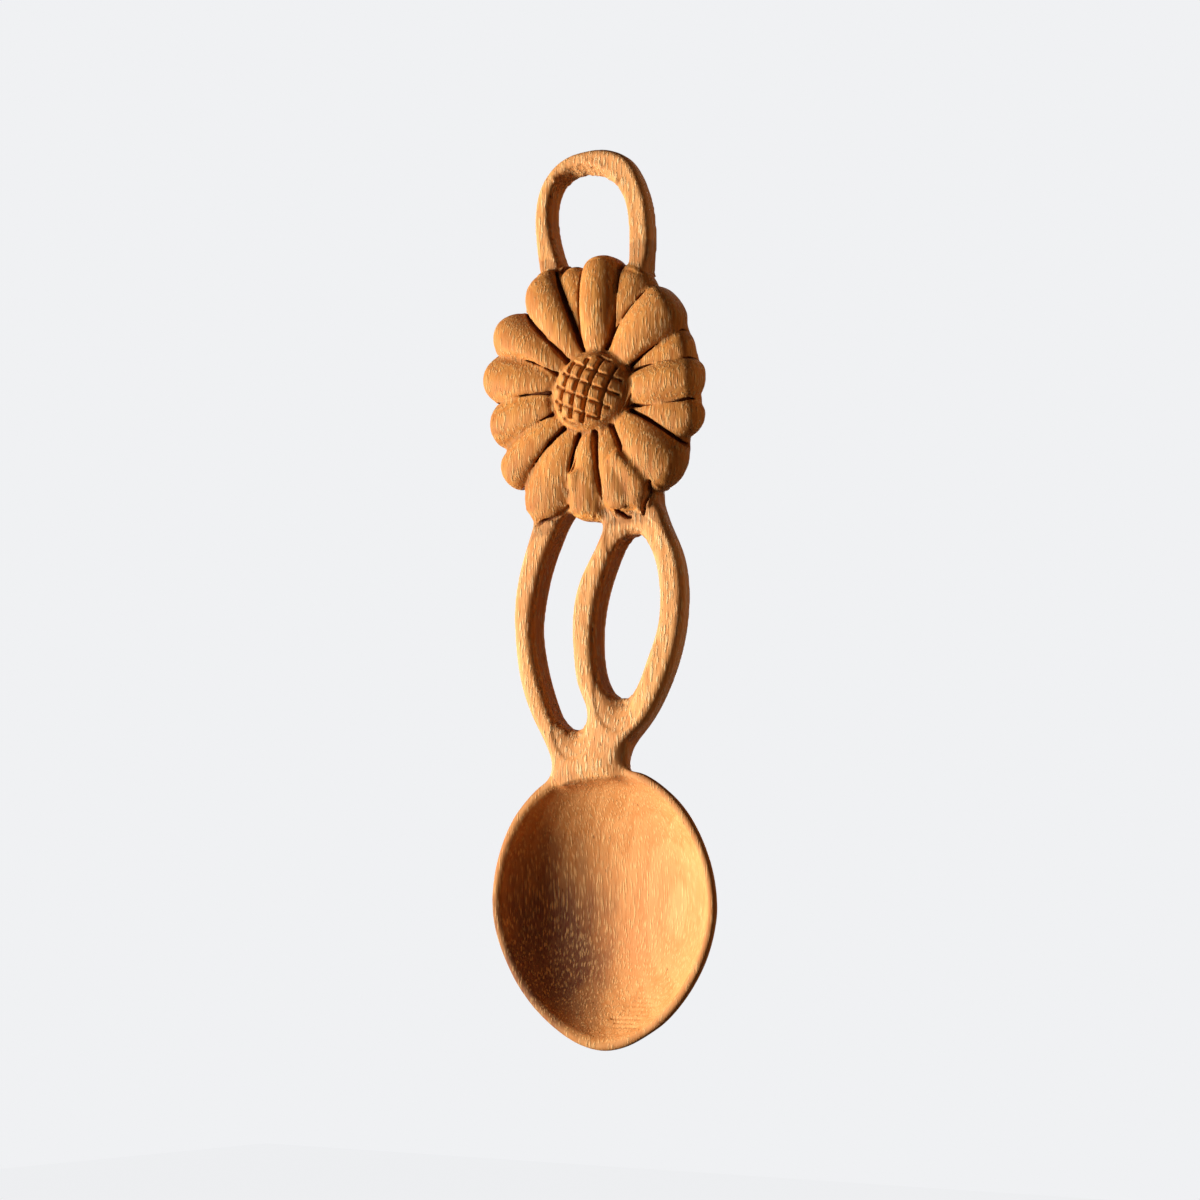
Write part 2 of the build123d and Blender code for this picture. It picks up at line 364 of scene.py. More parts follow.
@dataclass
class Gouge:
    """A V-shaped cutter that is drawn along lines.

    Args:
        name: what it cuts.
        width: width of the cut, in millimetres.
        depth: depth of the cut, in millimetres.
        wobble: how far the hand strays from the line, in millimetres.
        lines: points in millimetres along each cut, each with the share of the full width there.
    """

    name: str
    width: float
    depth: float
    wobble: float
    lines: list[list[tuple[float, float, float, float]]] = field(default_factory=list)

    def tree(self) -> bpy.types.NodeTree:
        """Builds the node tree that turns lines into cutters, once.

        Returns:
            The tree, which all gouges share.
        """
        found = bpy.data.node_groups.get("v_gouge")
        if found:
            return found
        tree = bpy.data.node_groups.new("v_gouge", "GeometryNodeTree")
        face = tree.interface
        face.new_socket("Geometry", in_out="INPUT", socket_type="NodeSocketGeometry")
        for name in ("Width", "Depth", "Wobble", "Spacing"):
            face.new_socket(name, in_out="INPUT", socket_type="NodeSocketFloat")
        face.new_socket("Material", in_out="INPUT", socket_type="NodeSocketMaterial")
        face.new_socket("Geometry", in_out="OUTPUT", socket_type="NodeSocketGeometry")
        given = add_node(tree, "NodeGroupInput").outputs
        share = add_node(
            tree, "GeometryNodeInputNamedAttribute", {"data_type": "FLOAT", "Name": "share"}
        )
        stray = add_node(
            tree, "ShaderNodeTexNoise", {"Scale": 400.0, "Detail": 1.0},
            {"Vector": add_node(tree, "GeometryNodeInputPosition").outputs[0]},
        )
        centred = add_node(
            tree, "ShaderNodeVectorMath", {"operation": "SUBTRACT", 1: (0.5, 0.5, 0.5)},
            {0: stray.outputs["Color"]},
        )
        offset = add_node(
            tree, "ShaderNodeVectorMath", {"operation": "SCALE"},
            {0: centred.outputs[0], "Scale": given["Wobble"]},
        )
        corner = add_node(
            tree, "GeometryNodeCurvePrimitiveCircle", {"Resolution": 4, "Radius": 1.0}
        )
        scale = add_node(
            tree, "ShaderNodeCombineXYZ", {"Z": 1.0}, {"X": given["Width"], "Y": given["Depth"]}
        )
        profile = add_node(
            tree, "GeometryNodeTransform",
            links={"Geometry": corner.outputs[0], "Scale": scale.outputs[0]},
        )
        # Each of these takes what the one before it gives
        steps = (
            ("MeshToCurve", {}, {}),
            ("SetCurveRadius", {}, {"Radius": share.outputs[0]}),
            ("ResampleCurve", {"mode": "LENGTH"}, {"Length": given["Spacing"]}),
            ("SetPosition", {}, {"Offset": offset.outputs[0]}),
            ("SetCurveNormal", {"mode": "Z_UP"}, {}),
            ("CurveToMesh", {"Fill Caps": True}, {"Profile Curve": profile.outputs[0]}),
            ("RealizeInstances", {}, {}),
            ("SetMaterial", {}, {"Material": given["Material"]}),
        )
        flow = given["Geometry"]
        for kind, settings, links in steps:
            flow = add_node(tree, f"GeometryNode{kind}", settings, {0: flow, **links}).outputs[0]
        add_node(tree, "NodeGroupOutput", links={0: flow})
        return tree

    def cutter(self) -> Block:
        """Sweeps the V along the lines.

        Returns:
            The field of the cutter.
        """
        corners = [point for line in self.lines for point in line]
        ends = np.cumsum([0] + [len(line) for line in self.lines])
        edges = [
            (i, i + 1) for start, end in zip(ends, ends[1:]) for i in range(start, end - 1)
        ]
        # The sweep keeps its V upright about Z, so the lines are laid flat and turned back after
        flat = [(x * MM, z * MM, -y * MM) for x, y, z, _ in corners]
        mesh = bpy.data.meshes.new(self.name)
        mesh.from_pydata(flat, edges, [])
        shares = mesh.attributes.new("share", "FLOAT", "POINT")
        shares.data.foreach_set("value", [share for *_, share in corners])
        holder = bpy.data.objects.new(self.name, mesh)
        bpy.context.scene.collection.objects.link(holder)
        modifier = holder.modifiers.new("gouge", "NODES")
        modifier.node_group = self.tree()
        sizes = {
            "Width": self.width / 2 * MM, "Depth": self.depth * MM,
            "Wobble": self.wobble * MM, "Spacing": STEP * MM,
        }
        for item in modifier.node_group.interface.items_tree:
            if item.in_out == "INPUT" and item.name in sizes:
                modifier[item.identifier] = sizes[item.name]
        graph = bpy.context.evaluated_depsgraph_get()
        swept = bpy.data.meshes.new_from_object(holder.evaluated_get(graph))
        holder.modifiers.remove(modifier)
        shell = mesh_shell(swept)
        x, z, y = shell.points.T
        bpy.data.objects.remove(holder)
        for spent in (mesh, swept):
            bpy.data.meshes.remove(spent)
        return Shell(np.stack([x, -y, z], 1), shell.faces).distance()

    def cut(self, wood: Block) -> None:
        """Cuts the lines into the wood.

        Args:
            wood: the whole spoon.
        """
        tool = self.cutter()
        low, high = wood.shared(tool)
        view = wood.window(low, high)
        view[...] = np.maximum(view, -tool.window(low, high))


# The carving


class Look(Enum):
    """Which way a wall of cut fibre ends faces."""

    DOWN = -1
    UP = 1


class Tone(Enum):
    """How deep the wood's colour is, and whether it was scraped smooth."""

    PALE = "pale"
    SCRAPED = "scraped"
    DEEP = "deep"


@dataclass
class Stock:
    """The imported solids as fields.

    Args:
        parts: the field of each node, by its name.
    """

    parts: dict[str, Block] = field(default_factory=dict)

    def measure(self) -> None:
        """Reads every node."""
        for name in sorted(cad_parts):
            self.parts[name] = mesh_shell(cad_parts[name].data).distance()

    def beside(self, block: Block, names: list[str]) -> list[Block]:
        """The nodes among several whose boxes reach a block's box.

        Args:
            block: the block.
            names: the nodes to look at.

        Returns:
            The fields of those that reach it.
        """
        reaching = []
        for part in (self.parts[name] for name in names):
            low, high = part.shared(block)
            if (low < high).all():
                reaching.append(part)
        return reaching

    def union(self, names: list[str]) -> Block:
        """Several nodes as one field."""
        return joined([self.parts[name] for name in names])


@dataclass
class Skin:
    """The meshed surface of the wood, with its normals and marks.

    Args:
        points: places in millimetres.
        faces: triangles and quads.
        owners: for each kind of face, the name of the node that each belongs to.
        normals: unit normals at the points.
        recess: how deep each point lies in a hollow or crease, 0 to 1.
        torn: how much each point lies on fibre ends that the knife tore, 0 to 1.
        sheltered: how close other wood stands in front of each point, 0 to 1.
    """

    points: np.ndarray
    faces: list[np.ndarray]
    owners: list[np.ndarray]
    normals: np.ndarray
    recess: np.ndarray
    torn: np.ndarray
    sheltered: np.ndarray

    def piece(self, name: str, material: bpy.types.Material) -> bpy.types.Object:
        """One node's share of the skin, closed where the wood runs on into its neighbours.

        Args:
            name: the node.
            material: the finish.

        Returns:
            The object, riding on the root body in the node's place.
        """
        kinds = [kind[owner == name] for kind, owner in zip(self.faces, self.owners)]
        used = np.unique(np.concatenate([kind.ravel() for kind in kinds]))
        place = np.full(len(self.points), -1)
        place[used] = np.arange(len(used))
        corners = np.concatenate([place[kind].ravel() for kind in kinds])
        totals = np.concatenate([np.full(len(kind), kind.shape[1]) for kind in kinds])
        mesh = bpy.data.meshes.new(f"{name}_carved")
        mesh.vertices.add(len(used))
        mesh.vertices.foreach_set("co", (self.points[used] * MM).astype(np.float32).ravel())
        mesh.loops.add(len(corners))
        mesh.loops.foreach_set("vertex_index", corners.astype(np.int32))
        mesh.polygons.add(len(totals))
        starts = np.cumsum(totals) - totals
        mesh.polygons.foreach_set("loop_start", starts.astype(np.int32))
        mesh.update(calc_edges=True)
        self.close(mesh)
        self.shade(mesh, used, len(corners))
        mesh.materials.append(material)
        piece = bpy.data.objects.new(mesh.name, mesh)
        bpy.context.scene.collection.objects.link(piece)
        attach(piece, "root")
        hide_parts(name)
        mesh.calc_loop_triangles()
        log.info("%s: %d triangles", piece.name, len(mesh.loop_triangles))
        return piece

    def close(self, mesh: bpy.types.Mesh) -> None:
        """Caps the open rims of a piece.

        Args:
            mesh: the piece.
        """
        form = bmesh.new()
        form.from_mesh(mesh)
        rims = [edge for edge in form.edges if len(edge.link_faces) == 1]
        caps = bmesh.ops.holes_fill(form, edges=rims, sides=0)["faces"]
        bmesh.ops.triangulate(form, faces=caps, ngon_method="EAR_CLIP")
        form.to_mesh(mesh)
        form.free()

    def shade(self, mesh: bpy.types.Mesh, used: np.ndarray, skin_corners: int) -> None:
        """Gives a piece the normals and marks of the skin, and flat normals on its caps.

        Args:
            mesh: the piece, with its caps last.
            used: the skin's points that it has, in order.
            skin_corners: number of face corners that belong to the skin.
        """
        mesh.polygons.foreach_set("use_smooth", np.ones(len(mesh.polygons), bool))
        corners = np.empty(len(mesh.loops), np.int32)
        mesh.loops.foreach_get("vertex_index", corners)
        normals = self.normals[used][corners]
        flat = [
            face.normal[:] for face in mesh.polygons if face.loop_start >= skin_corners
            for _ in range(face.loop_total)
        ]
        if flat:
            normals[skin_corners:] = flat
        mesh.normals_split_custom_set(normals.tolist())
        for name in ("recess", "torn", "sheltered"):
            marks = mesh.attributes.new(name, "FLOAT", "POINT")
            marks.data.foreach_set("value", getattr(self, name)[used].astype(np.float32))


@dataclass
class Carving:
    """A sub-assembly: the nodes that it stands for, and how the knife leaves them.

    Args:
        nodes: their names.
        fill: radius left in creases, in millimetres.
        wear: radius left on edges, in millimetres.
        tuck: how far the form runs on into its neighbours, in millimetres.
        tone: how deep its wood's colour is.
        torn_slope: how squarely a wall faces the knife where it starts to tear, and where it is
            torn in full, 0 to 1.
        torn_lumps: size of the torn lumps along X, Y and Z, in millimetres.
        lean_band: distance from a leaned edge where its lean starts, and where it is full.
    """

    nodes: list[str]
    fill: float = 0.15
    wear: float = 1.0
    tuck: float = 0.8
    tone: Tone = Tone.PALE
    torn_slope: tuple[float, float] = (0.3, 0.7)
    torn_lumps: tuple[float, float, float] = (0.6, 1.1, 0.5)
    lean_band: tuple[float, float] = (3.6, 0.4)

    def form(self, stock: Stock, neighbours: list[str]) -> Block:
        """The sub-assembly as it is after the knife.

        Args:
            stock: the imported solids.
            neighbours: nodes that it runs into without an edge.

        Returns:
            Its field.
        """
        own = stock.union(self.nodes)
        if not neighbours:
            return reworked(own, self.fill, self.wear)
        near = [block.cropped(own) for block in stock.beside(own, neighbours)]
        return limited(reworked(joined([own] + near), self.fill, self.wear), own, self.tuck)

    def detail(self, wood: Block, stock: Stock) -> None:
        """Cuts what is finer than the form. A plain form has nothing of the kind."""

    def tear(self, wood: Block, place: Block, look: Look, seed: int, deep: float = 0.3) -> None:
        """Roughens the walls where the knife met fibre ends.

        Args:
            wood: the whole spoon.
            place: the part of it to work on.
            look: which way the walls face.
            seed: fixes the draw.
            deep: depth of the pits, in millimetres.
        """
        up = np.array([0, 0, 1])
        above, below = (wood.window(place.low + way, place.high + way) for way in (up, -up))
        slope = (above - below) / (2 * STEP)
        start, full = self.torn_slope
        facing = np.clip((look.value * slope - start) / (full - start), 0, 1)
        # Pits go in further than lumps stand out
        lumps = np.maximum(uneven(place, self.torn_lumps, seed), -0.3)
        place.values[...] += facing * lumps * np.float32(deep)

    def lean(self, wood: Block, place: Block, reach: float) -> None:
        """Moves the front of the outer right edge out, so that its side slopes in to the back.

        Args:
            wood: the whole spoon.
            place: the part of it to work on.
            reach: how far the front moves, in millimetres.
        """
        x, y, z = place.axes()
        middle = place.values.shape[1] // 2
        solid = place.values[:, middle, :] < 0
        edge = x.ravel()[solid.shape[0] - 1 - np.argmax(solid[::-1], axis=0)]
        # The edge's line is averaged over 17 samples, and the lean fades out at its two ends
        edge = np.convolve(np.pad(edge, 8, mode="edge"), np.ones(17) / 17, mode="valid")
        ends = np.clip(4 * np.sin(np.linspace(0, math.pi, len(edge))), 0, 1)
        depth = np.clip(y / y.min(), 0, 1)
        start, full = self.lean_band
        near = np.clip((x - edge + start) / (start - full), 0, 1)
        shift = reach * ends * depth * near * near * (3 - 2 * near)
        points = np.stack(np.broadcast_arrays(x - shift, y, z), -1).reshape(-1, 3)
        place.values[...] = wood.at(points).reshape(place.values.shape)

    def dress(self, skin: Skin, material: bpy.types.Material) -> list[bpy.types.Object]:
        """Makes the pieces that stand for the nodes."""
        return [skin.piece(name, material) for name in self.nodes]


@dataclass
class HangingLoop(Carving):
    """Flat loop with a hole for a nail, rough where the hole's top crosses the grain.

    Args:
        hole_rough_height: how far down the rough wall reaches, in millimetres.
        hole_rough_depth: depth of its pits.
        top_band: height of the wood over the hole.
        arm_width: width of the right arm with some wood beside it.
        side_lean: how far the outer right edge stands out at the front.
    """

    hole_rough_height: float = 8.0
    hole_rough_depth: float = 0.24
    top_band: float = 2.5
    arm_width: float = 9.0
    side_lean: float = 1.0

    def detail(self, wood: Block, stock: Stock) -> None:
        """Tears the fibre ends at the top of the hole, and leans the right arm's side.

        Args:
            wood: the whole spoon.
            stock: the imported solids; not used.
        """
        low, high = box_mm("hanging_loop")
        bottom = high[2] - self.hole_rough_height - self.top_band
        place = wood.part((low[0], low[1], bottom), (high[0], high[1], high[2] - self.top_band))
        self.tear(wood, place, Look.DOWN, 11, self.hole_rough_depth)
        inner = high[0] - self.arm_width
        arm = wood.part((inner, low[1] - 1, low[2] + 2), (high[0] + 3, 0, high[2] - 1))
        self.lean(wood, arm, self.side_lean)


@dataclass(frozen=True)
class PetalEnd:
    """The end of a petal that runs down over the stems.

    Args:
        corners: X and Z of its outline, clockwise from the tip's right, in millimetres.
        top: height of its tip above the back.
        rise: how fast the top rises away from the first side, in millimetres per millimetre.
        rounding: width of the round between the sides and the top, in millimetres.
    """

    corners: tuple[tuple[float, float], ...]
    top: float
    rise: float
    rounding: float

    def block(self) -> Block:
        """Builds the end from its outline.

        Returns:
            Its field, down to just above the back.
        """
        xs, zs = zip(*self.corners)
        peak = self.top + self.rise * (max(zs) - min(zs))
        low = np.floor(np.array([min(xs) - 2, -peak - 2, min(zs) - 2]) / STEP).astype(int)
        high = np.ceil(np.array([max(xs) + 2, 0, max(zs) + 2]) / STEP).astype(int)
        end = Block(low, np.empty(tuple(high - low), np.float32))
        x, y, z = end.axes()
        sides = []
        for (x0, z0), (x1, z1) in zip(self.corners, self.corners[1:] + self.corners[:1]):
            length = math.hypot(x1 - x0, z1 - z0)
            sides.append(((x0 - x) * (z1 - z0) + (z - z0) * (x1 - x0)) / length)
        # The last side runs back to the first corner, along the tip
        form = -y - self.top + self.rise * np.minimum(sides[-1], 0)
        for side in sides:
            form = -smooth_min(-form, -side, self.rounding)
        end.values[...] = np.maximum(form, y + 1)
        return end


@dataclass
class Flower(Carving):
    """Sixteen petals on a back plate, parted by knife cuts.

    Args:
        rim_wear: radius left on edges at the tips of the petals, in millimetres.
        rim_start: how far out, as a share of the flower's radius, the rounder edges begin.
        disc: the dome that the petals run up to.
        knife_width: width of the widest cut between two petals, in millimetres.
        knife_depth: depth of the cuts, in millimetres.
        knife_sway: share by which the width wanders.
        knife_shares: share of the full width between each petal and the next one clockwise.
        flare: how much wider the cuts are close to the disc.
        flare_start: distance from the middle, as a share of the radius, at which they have
            their plain width.
        ends: the two petal ends that lie over the stems.
    """

    fill: float = 0.85
    wear: float = 1.2
    rim_wear: float = 2.6
    rim_start: float = 0.72
    disc: "Disc | None" = None
    knife_width: float = 1.5
    knife_depth: float = 1.7
    knife_sway: float = 0.25
    knife_shares: tuple[float, ...] = (
        0.9, 0.45, 0.65, 0.5, 0.55, 0.75, 0.85, 0.95, 0.8, 0.75, 0.55, 0.6, 0.7, 0.9, 1.0, 0.45,
    )
    flare: float = 0.7
    flare_start: float = 0.75
    ends: tuple[PetalEnd, ...] = (
        PetalEnd((
            (7.5, -69.2), (6.0, -67.0), (5.6, -62.1), (9.3, -58.6), (13.8, -63.9), (15.9, -66.5),
            (14.1, -72.7),
        ), 6.6, 0.24, 0.8),
        PetalEnd((
            (4.6, -72.3), (1.6, -72.5), (-1.0, -70.7), (-3.1, -67.1), (-2.2, -61.2), (4.2, -61.9),
            (6.0, -66.8), (6.2, -69.8),
        ), 5.6, 0.3, 2.6),
    )

    def form(self, stock: Stock, neighbours: list[str]) -> Block:
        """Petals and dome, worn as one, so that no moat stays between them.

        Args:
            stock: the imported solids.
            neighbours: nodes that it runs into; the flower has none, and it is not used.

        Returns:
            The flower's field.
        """
        ends = [end.block() for end in self.ends]
        own = joined([stock.union(self.nodes), self.disc.dome(stock)] + ends)
        crisp, softer = (reworked(own, self.fill, wear) for wear in (self.wear, self.rim_wear))
        low, high = crisp.shared(softer)
        whole = Block(low, crisp.window(low, high))
        x, _, z = whole.axes()
        out = np.clip((self.outwards(x, z) - self.rim_start) / (1 - self.rim_start), 0, 1)
        whole.values[...] += (softer.window(low, high) - whole.values) * out
        return whole

    def outwards(self, x: np.ndarray, z: np.ndarray) -> np.ndarray:
        """Distance from the flower's middle: 1 at the tips of the longest petals.

        Args:
            x: places along X, in millimetres.
            z: places along Z.

        Returns:
            One distance for each place.
        """
        low, high = box_mm("flower_back")
        centre, radius = (low + high) / 2, (high[0] - low[0]) / 2
        return np.hypot(x - centre[0], z - centre[2]) / radius

    def petals(self) -> list[str]:
        """The petals' names, clockwise from the top one."""
        return sorted(name for name in self.nodes if name.startswith("petal"))

    def detail(self, wood: Block, stock: Stock) -> None:
        """Draws the knife along every seam between two petals.

        Args:
            wood: the whole spoon.
            stock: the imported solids.
        """
        petals = self.petals()
        for index, share in enumerate(self.knife_shares):
            first = stock.parts[petals[index]]
            second = stock.parts[petals[(index + 1) % len(petals)]]
            start = np.max([first.low, second.low, wood.low], axis=0)
            end = np.min([first.high, second.high, wood.high], axis=0)
            apart = np.maximum(first.window(start, end), second.window(start, end))
            seam = Block(start, wood.window(start, end))
            x, _, z = seam.axes()
            flare = 1 + self.flare * (self.flare_start - self.outwards(x, z))
            width = share * self.knife_width / 2 * flare
            width = width * (1 + self.knife_sway * uneven(seam, (2, 2, 2), index))
            cut = apart - width * (1 + seam.values / self.knife_depth)
            seam.values[...] = np.maximum(seam.values, -cut)


@dataclass
class Disc(Carving):
    """Domed disc, cross hatched with a V gouge.

    Args:
        wall_top: height of the dome's rim above the back, in millimetres.
        skirt: width of the round between the wall and the dome, in millimetres.
        bed: height above the back at which the dome's wood starts.
        reach: share of the dome that the hatch covers.
        flat: the flatter lines' direction in degrees, distance, width and depth in millimetres.
        steep: the same of the steeper lines.
        stray: how far a line lies off its place, in millimetres.
        wobble: how far the hand strays from the line.
        point_gap: distance between the points of a line.
        border_width: how far from the border's solid its lumps go.
        border_lumps: size of the lumps along X, Y and Z.
        border_rough: their height.
    """

    wall_top: float = 6.4
    skirt: float = 1.6
    bed: float = 2.0
    reach: float = 0.9
    flat: tuple[float, float, float, float] = (-25, 2.8, 1.0, 0.85)
    steep: tuple[float, float, float, float] = (69, 3.35, 1.4, 1.1)
    stray: float = 0.15
    wobble: float = 0.25
    point_gap: float = 0.8
    border_width: float = 1.2
    border_lumps: tuple[float, float, float] = (0.7, 0.7, 0.9)
    border_rough: float = 0.18

    def size(self) -> tuple[np.ndarray, float, float, float]:
        """Centre, half width, half height and top of the disc, in millimetres.

        Returns:
            The four sizes, in that order.
        """
        low, high = box_mm("flower_disc")
        half = (high - low) / 2
        return (low + high) / 2, half[0], half[2], -low[1]

    def ball(self) -> tuple[float, float]:
        """Radius of the dome's sphere, and the height of its centre above the back.

        Returns:
            Both, in millimetres.
        """
        _, half, _, top = self.size()
        rise = top - self.wall_top
        radius = (half ** 2 + rise ** 2) / (2 * rise)
        return radius, top - radius

    def dome(self, stock: Stock) -> Block:
        """The dome before it is hatched.

        Args:
            stock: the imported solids.

        Returns:
            Its field.
        """
        centre, half_width, half_height, _ = self.size()
        radius, level = self.ball()
        bed = stock.union(self.nodes)
        x, y, z = bed.axes()
        across, along = x - centre[0], z - centre[2]
        oval = np.sqrt((across / half_width) ** 2 + (along / half_height) ** 2)
        wall = (oval - 1) * half_height + 0 * y
        ball = np.sqrt(across ** 2 + (y + level) ** 2 + along ** 2) - radius
        cap = np.maximum(-smooth_min(-wall, -ball, self.skirt), y + self.bed)
        return Block(bed.low, cap.astype(np.float32))

    def hatch(self, family: tuple[float, float, float, float], seed: int) -> Gouge:
        """One family of lines across the dome.

        Args:
            family: direction, distance, width and depth of the lines.
            seed: fixes how the hand strays.

        Returns:
            The gouge with its lines.
        """
        angle, pitch, width, depth = family
        centre, half_width, half_height, _ = self.size()
        radius, level = self.ball()
        random = np.random.default_rng(seed)
        along = np.array([math.cos(math.radians(angle)), math.sin(math.radians(angle))])
        side = np.array([-along[1], along[0]])
        lines = []
        count = round(half_width / pitch)
        for number in range(-count, count):
            offset = (number + 0.5) * pitch + random.uniform(-self.stray, self.stray)
            line = []
            for step in np.arange(-half_width, half_width, self.point_gap):
                x, z = along * step + side * offset
                oval = math.hypot(x / half_width, z / half_height)
                if oval > self.reach:
                    continue
                height = level + math.sqrt(radius ** 2 - x ** 2 - z ** 2)
                # The gouge comes out of the wood as it nears the border
                share = min(1.0, 0.35 + 3.5 * (self.reach - oval)) * random.uniform(0.85, 1.05)
                line.append((centre[0] + x, -height, centre[2] + z, share))
            if len(line) > 3:
                lines.append(line)
        return Gouge(f"hatch_{seed}", width, depth, self.wobble, lines)

    def detail(self, wood: Block, stock: Stock) -> None:
        """Hatches the dome and roughens its border.

        Args:
            wood: the whole spoon.
            stock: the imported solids.
        """
        for seed, family in enumerate((self.flat, self.steep), start=21):
            self.hatch(family, seed).cut(wood)
        border = stock.parts["disc_border"]
        low, high = border.shared(wood)
        rough = Block(low, wood.window(low, high))
        near = np.clip(self.border_width - np.abs(border.window(low, high)), 0, 1)
        lumps = uneven(rough, self.border_lumps, 23)
        rough.values[...] += near * lumps * np.float32(self.border_rough)


@dataclass
class Handle(Carving):
    """Three open stems and the neck, with the small cuts where they leave the flower.

    Args:
        slit: points of the slit beside the right stem, in millimetres, each with the share of
            the full width there.
        slit_size: its width, its depth and how far the hand strays.
        crescent: points of the curved cut above the middle stem.
        crescent_size: the same three sizes of it.
        stop: points of the stop cut under the petal on the left stem.
        stop_size: the same three sizes of it.
        scoops: hollows at the ends of the slots: X, Z, half width, half length and depth.
        scoop_edge: share of a scoop's depth at which its border lies.
        scoop_climb: how fast the cut rises out of the wood beyond it.
        scoop_softness: width of the round at a scoop's border.
        scoop_lumps: size of the lumps in a scoop along X, Y and Z.
        scoop_rough: their height.
        front: height of the stems' front above the back.
        corner: radius between the neck and the bowl's rim.
        side_lean: how far the outer right edge stands out at the front.
    """

    slit: tuple[tuple[float, float, float, float], ...] = (
        (13.6, -6.0, -71.9, 0.15), (14.2, -6.3, -70.5, 0.6), (14.9, -6.6, -69.0, 0.9),
        (15.8, -7.0, -66.6, 1.0), (16.2, -7.4, -65.4, 0.6),
    )
    slit_size: tuple[float, float, float] = (0.9, 3.4, 0.1)
    crescent: tuple[tuple[float, float, float, float], ...] = (
        (7.9, -5.9, -70.0, 0.3), (8.7, -5.8, -70.9, 1.0), (9.7, -5.7, -71.6, 0.9),
        (10.9, -5.7, -71.8, 0.3),
    )
    crescent_size: tuple[float, float, float] = (1.2, 1.5, 0.1)
    stop: tuple[tuple[float, float, float, float], ...] = (
        (-13.6, -5.8, -71.4, 0.4), (-11.6, -5.7, -71.1, 0.9), (-9.6, -5.8, -70.2, 0.7),
        (-7.1, -5.7, -70.1, 1.0), (-4.9, -5.7, -68.9, 0.9), (-3.5, -5.8, -67.9, 0.5),
    )
    stop_size: tuple[float, float, float] = (0.9, 0.6, 0.25)
    scoops: tuple[tuple[float, float, float, float, float], ...] = (
        (-3.3, -111.0, 2.2, 3.2, 2.4), (7.8, -105.4, 2.6, 3.6, 2.6), (10.6, -75.8, 2.6, 2.2, 1.0),
    )
    scoop_edge: float = 0.08
    scoop_climb: float = 24.0
    scoop_softness: float = 1.2
    scoop_lumps: tuple[float, float, float] = (0.7, 0.7, 0.8)
    scoop_rough: float = 0.14
    front: float = 5.6
    corner: float = 4.0
    side_lean: float = 1.7

    def detail(self, wood: Block, stock: Stock) -> None:
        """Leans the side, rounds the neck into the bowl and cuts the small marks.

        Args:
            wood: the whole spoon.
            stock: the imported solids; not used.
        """
        (_, _, bottom), (right, _, top) = box_mm("stem_right")
        place = wood.part((right - 16, -self.front - 0.5, bottom - 8), (right + 4, 0, top - 1))
        self.lean(wood, place, self.side_lean)
        self.round_neck(wood)
        for index, scoop in enumerate(self.scoops):
            self.scoop(wood, scoop, index)
        for name, size, line in (
            ("slit", self.slit_size, self.slit),
            ("crescent", self.crescent_size, self.crescent),
            ("stop", self.stop_size, self.stop),
        ):
            Gouge(name, *size, [list(line)]).cut(wood)

    def round_neck(self, wood: Block) -> None:
        """Fills the corners between the neck and the bowl's rim.

        Args:
            wood: the whole spoon.
        """
        low, high = box_mm("neck")
        rim = box_mm("bowl")[1][2]
        root = wood.part((low[0] - 6, low[1] - 1, rim - 8), (high[0] + 6, high[1], rim + 4))
        band = self.corner + 2
        filled = root.capped().surface().distance(band).surface(self.corner).distance(band)
        filled.values += np.float32(self.corner)
        start, end = root.shared(filled)
        view = root.window(start, end)
        view[...] = np.minimum(view, filled.window(start, end))

    def scoop(
        self, wood: Block, scoop: tuple[float, float, float, float, float], index: int
    ) -> None:
        """Hollows the front at the end of a slot and roughens it.

        Args:
            wood: the whole spoon.
            scoop: X, Z, half width, half length and depth.
            index: number of the scoop, which fixes the draws.
        """
        across, up, wide, long, deep = scoop
        place = wood.part(
            (across - 3 * wide, -self.front - 1, up - 3 * long),
            (across + 3 * wide, 0, up + 3 * long),
        )
        x, y, z = place.axes()
        bell = np.exp(-0.5 * (((x - across) / wide) ** 2 + ((z - up) / long) ** 2))
        # Beyond the scoop the level rises clear of the petals
        outside = np.clip(self.scoop_edge - bell, 0, self.scoop_edge)
        level = self.front + 0.25 - deep * bell + self.scoop_climb * outside
        place.values[...] = -smooth_min(-place.values, y + level, self.scoop_softness)
        lumps = uneven(place, self.scoop_lumps, 30 + index)
        place.values[...] += np.clip(bell * 1.5 - 0.3, 0, 1) * lumps * np.float32(self.scoop_rough)
        # The shallow scoop is at the head of its slot, where the torn wall faces down
        self.tear(wood, place, Look.DOWN if deep < 2 else Look.UP, 40 + index)


